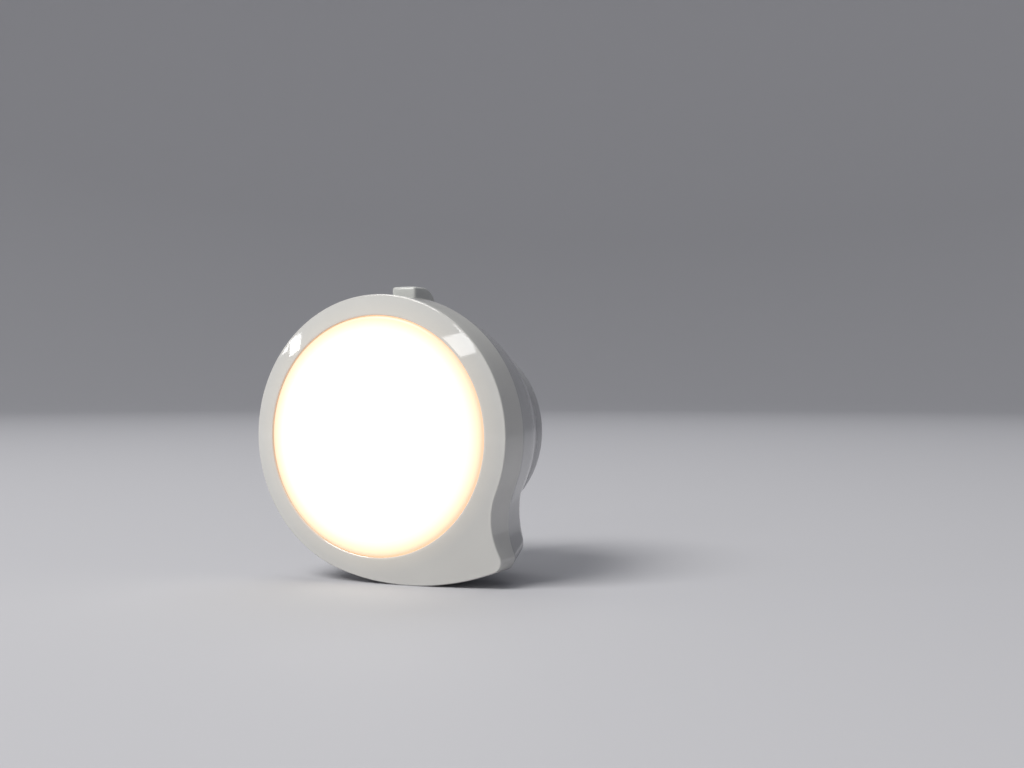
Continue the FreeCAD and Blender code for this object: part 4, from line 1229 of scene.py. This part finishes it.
def planted(name, form, sizes, slot, seeds, turns):
    """A tree that puts one small form on every seed, turned about the lamp's axis."""
    grower = Grower(name + "_tree", sizes + [("Material", "Material", None)])
    shape = form(grower)
    turn = grower.add("GeometryNodeInputNamedAttribute", {"data_type": "FLOAT"})
    turn.inputs["Name"].default_value = "turn"
    facing = grower.vector(along=grower.reckon("MULTIPLY", turn.outputs[0], -1.0))
    points = grower.add("GeometryNodeInstanceOnPoints", Points="Geometry", Instance=shape, Rotation=facing)
    grower.close(points.outputs[0])
    made = grow(name, grower, {"Material": finishes[slot].material}, seeds, turns)
    shade(made.data, 30)
    return made


def package(grower):
    """A white block that stands on the board."""
    block = grower.add("GeometryNodeMeshCube", Size="Size")
    return grower.moved(block.outputs["Mesh"], Translation=(0, -LED_HIGH / 2, 0))


def phosphor_dome(grower):
    """A flattened ball, sunk into the front of the package."""
    ball = grower.add("GeometryNodeMeshUVSphere", Segments=20, Rings=10, Radius="Radius")
    return grower.moved(ball.outputs["Mesh"], Scale=(1, DOME_FLAT, 1),
                        Translation=(0, -LED_HIGH * DOME_PLACE, 0))


# %% Emitter circles
led_spots, led_turns = [], []
for circle, count in LED_CIRCLES:
    for index in range(count):
        angle = (index + 0.5) * 2 * math.pi / count
        led_spots.append(Vector((circle * math.cos(angle), -BOARD_FRONT, circle * math.sin(angle))))
        led_turns.append(angle)
packages = planted("led_packages", package, [("Size", "Vector", (LED_WIDE, LED_HIGH, LED_LONG))],
                   "tray_white", led_spots, led_turns)
finish_piece(packages, "tray_white", "leds")
domes = planted("led_phosphor_domes", phosphor_dome, [("Radius", "Float", LED_WIDE * DOME_WIDE)],
                "led_phosphor", led_spots, led_turns)
finish_piece(domes, "led_phosphor")

# %% [markdown]
# ## Solder joints
#
# Wherever a wire or a tab passes through a board, solder climbs it in a small bright
# cone. One tree plants them on a list of joints.

# %% Solder
DRIVER_BACK = -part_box("driver_board")[1].y
JOINT_HIGH, JOINT_RADIUS, JOINT_TIP = 0.55 * MM, 0.85 * MM, 0.3
# Half the distance between the two legs of each part.
LEGS = {"mains_capacitor": 5.0 * MM, "smoothing_capacitor": 1.25 * MM, "filter_inductor": 1.5 * MM,
        "fusible_resistor": 4.4 * MM}


def fillet(grower):
    """A small cone that stands on the back of the driver board."""
    cone = grower.add("GeometryNodeMeshCone", Vertices=18, Side_Segments=2,
                      Radius_Top=JOINT_RADIUS * JOINT_TIP, Radius_Bottom="Radius", Depth=JOINT_HIGH)
    return grower.moved(cone.outputs["Mesh"], Rotation=(math.radians(-90), 0, 0))


def middle_of(node):
    low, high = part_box(node)
    return (low + high) / 2


lead = middle_of("led_lead_positive")
joint_spots = [Vector((side * lead.x, -DRIVER_BACK, lead.z)) for side in (-1, 1)]
for node, apart in LEGS.items():
    place = middle_of(node)
    joint_spots += [Vector((place.x + side * apart, -DRIVER_BACK, place.z)) for side in (-1, 1)]
joints = planted("solder_joints", fillet, [("Radius", "Float", JOINT_RADIUS)], "screw_steel",
                 joint_spots, [0.0] * len(joint_spots))
finish_piece(joints, "screw_steel")

# %% [markdown]
# ## Driver parts
#
# Each part on the driver board has the form that gives it away: the can's crimped
# neck and sunken top, the film capacitor's soft-edged box, the resistor's thick ends.

# %% Parts turned about their own axis


def turned_part(name, profile, middle, sides=48, axis="Y"):
    """A lathe form moved to its place. Profiles are (radius, forward) in millimetres."""
    made = lathe(name, profile, sides)
    if axis == "X":
        made.data.transform(Matrix.Rotation(math.radians(90), 4, "Z"))
    made.data.transform(Matrix.Translation(middle))
    return made


# %% Capacitor can
low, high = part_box("smoothing_capacitor")
can_radius, can_high = (high.x - low.x) / 2 / MM, (high.y - low.y) / MM
can_foot = Vector(((low.x + high.x) / 2, high.y, (low.z + high.z) / 2))
# Rows are how far in from the wall, and how far up from the foot or down from the top.
CAN_FOOT = ((0.4, 0), (0.05, 0.15), (0, 0.5), (0, 1.1), (0.35, 1.4), (0.35, 1.7), (0, 2.0))
CAN_TOP = ((0, 0.5), (0.15, 0.12), (0.5, 0), (0.9, 0), (1.0, 0.2))
can_profile = [(0, 0)] + [(can_radius - draw, up) for draw, up in CAN_FOOT]
can_profile += [(can_radius - draw, can_high - down) for draw, down in CAN_TOP] + [(0, can_high - 0.2)]
can = turned_part("electrolytic_can", can_profile, can_foot)
finish_piece(can, "can_sleeve", "smoothing_capacitor")

# %% Fusible resistor
low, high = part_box("fusible_resistor")
resistor_radius, resistor_long = (high.z - low.z) / 2 / MM, (high.x - low.x) / MM
half = resistor_long / 2
# Rows are a share of the radius, and how far inward from an end.
RESISTOR_END = ((0, 0), (0.7, 0), (1, 0.35), (1, 1.2), (0.86, 1.7))
resistor_profile = [(resistor_radius * share, inward - half) for share, inward in RESISTOR_END]
resistor_profile += [(resistor_radius * share, half - inward) for share, inward in RESISTOR_END[::-1]]
resistor = turned_part("fuse_resistor", resistor_profile, middle_of("fusible_resistor"), 32, "X")
finish_piece(resistor, "resistor_tan", "fusible_resistor")

# %% Soft-edged boxes


def soft_block(name, node, corner, edge):
    """A box the size of a solid, with its long edges and its front face rounded."""
    low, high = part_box(node)
    wide, tall = high.x - low.x, high.z - low.z
    rings = []
    for draw, place in ((edge, high.y), (0.0, high.y - edge), (0.0, low.y + edge),
                        (edge * 0.3, low.y + edge * 0.3), (edge, low.y)):
        section = oblong(wide - 2 * draw, tall - 2 * draw, corner)
        rings.append([Vector(((low.x + high.x) / 2 + point.x, place, (low.z + high.z) / 2 + point.y))
                      for point in section])
    return stack(name, rings, capped=True)


for name, node, slot, corner, edge in (
        ("film_capacitor", "mains_capacitor", "film_box", 0.9, 0.5),
        ("rectifier_block", "bridge_rectifier", "chip_black", 0.3, 0.2),
        ("driver_package", "driver_chip", "chip_black", 0.2, 0.2)):
    finish_piece(soft_block(name, node, corner * MM, edge * MM), slot, node)
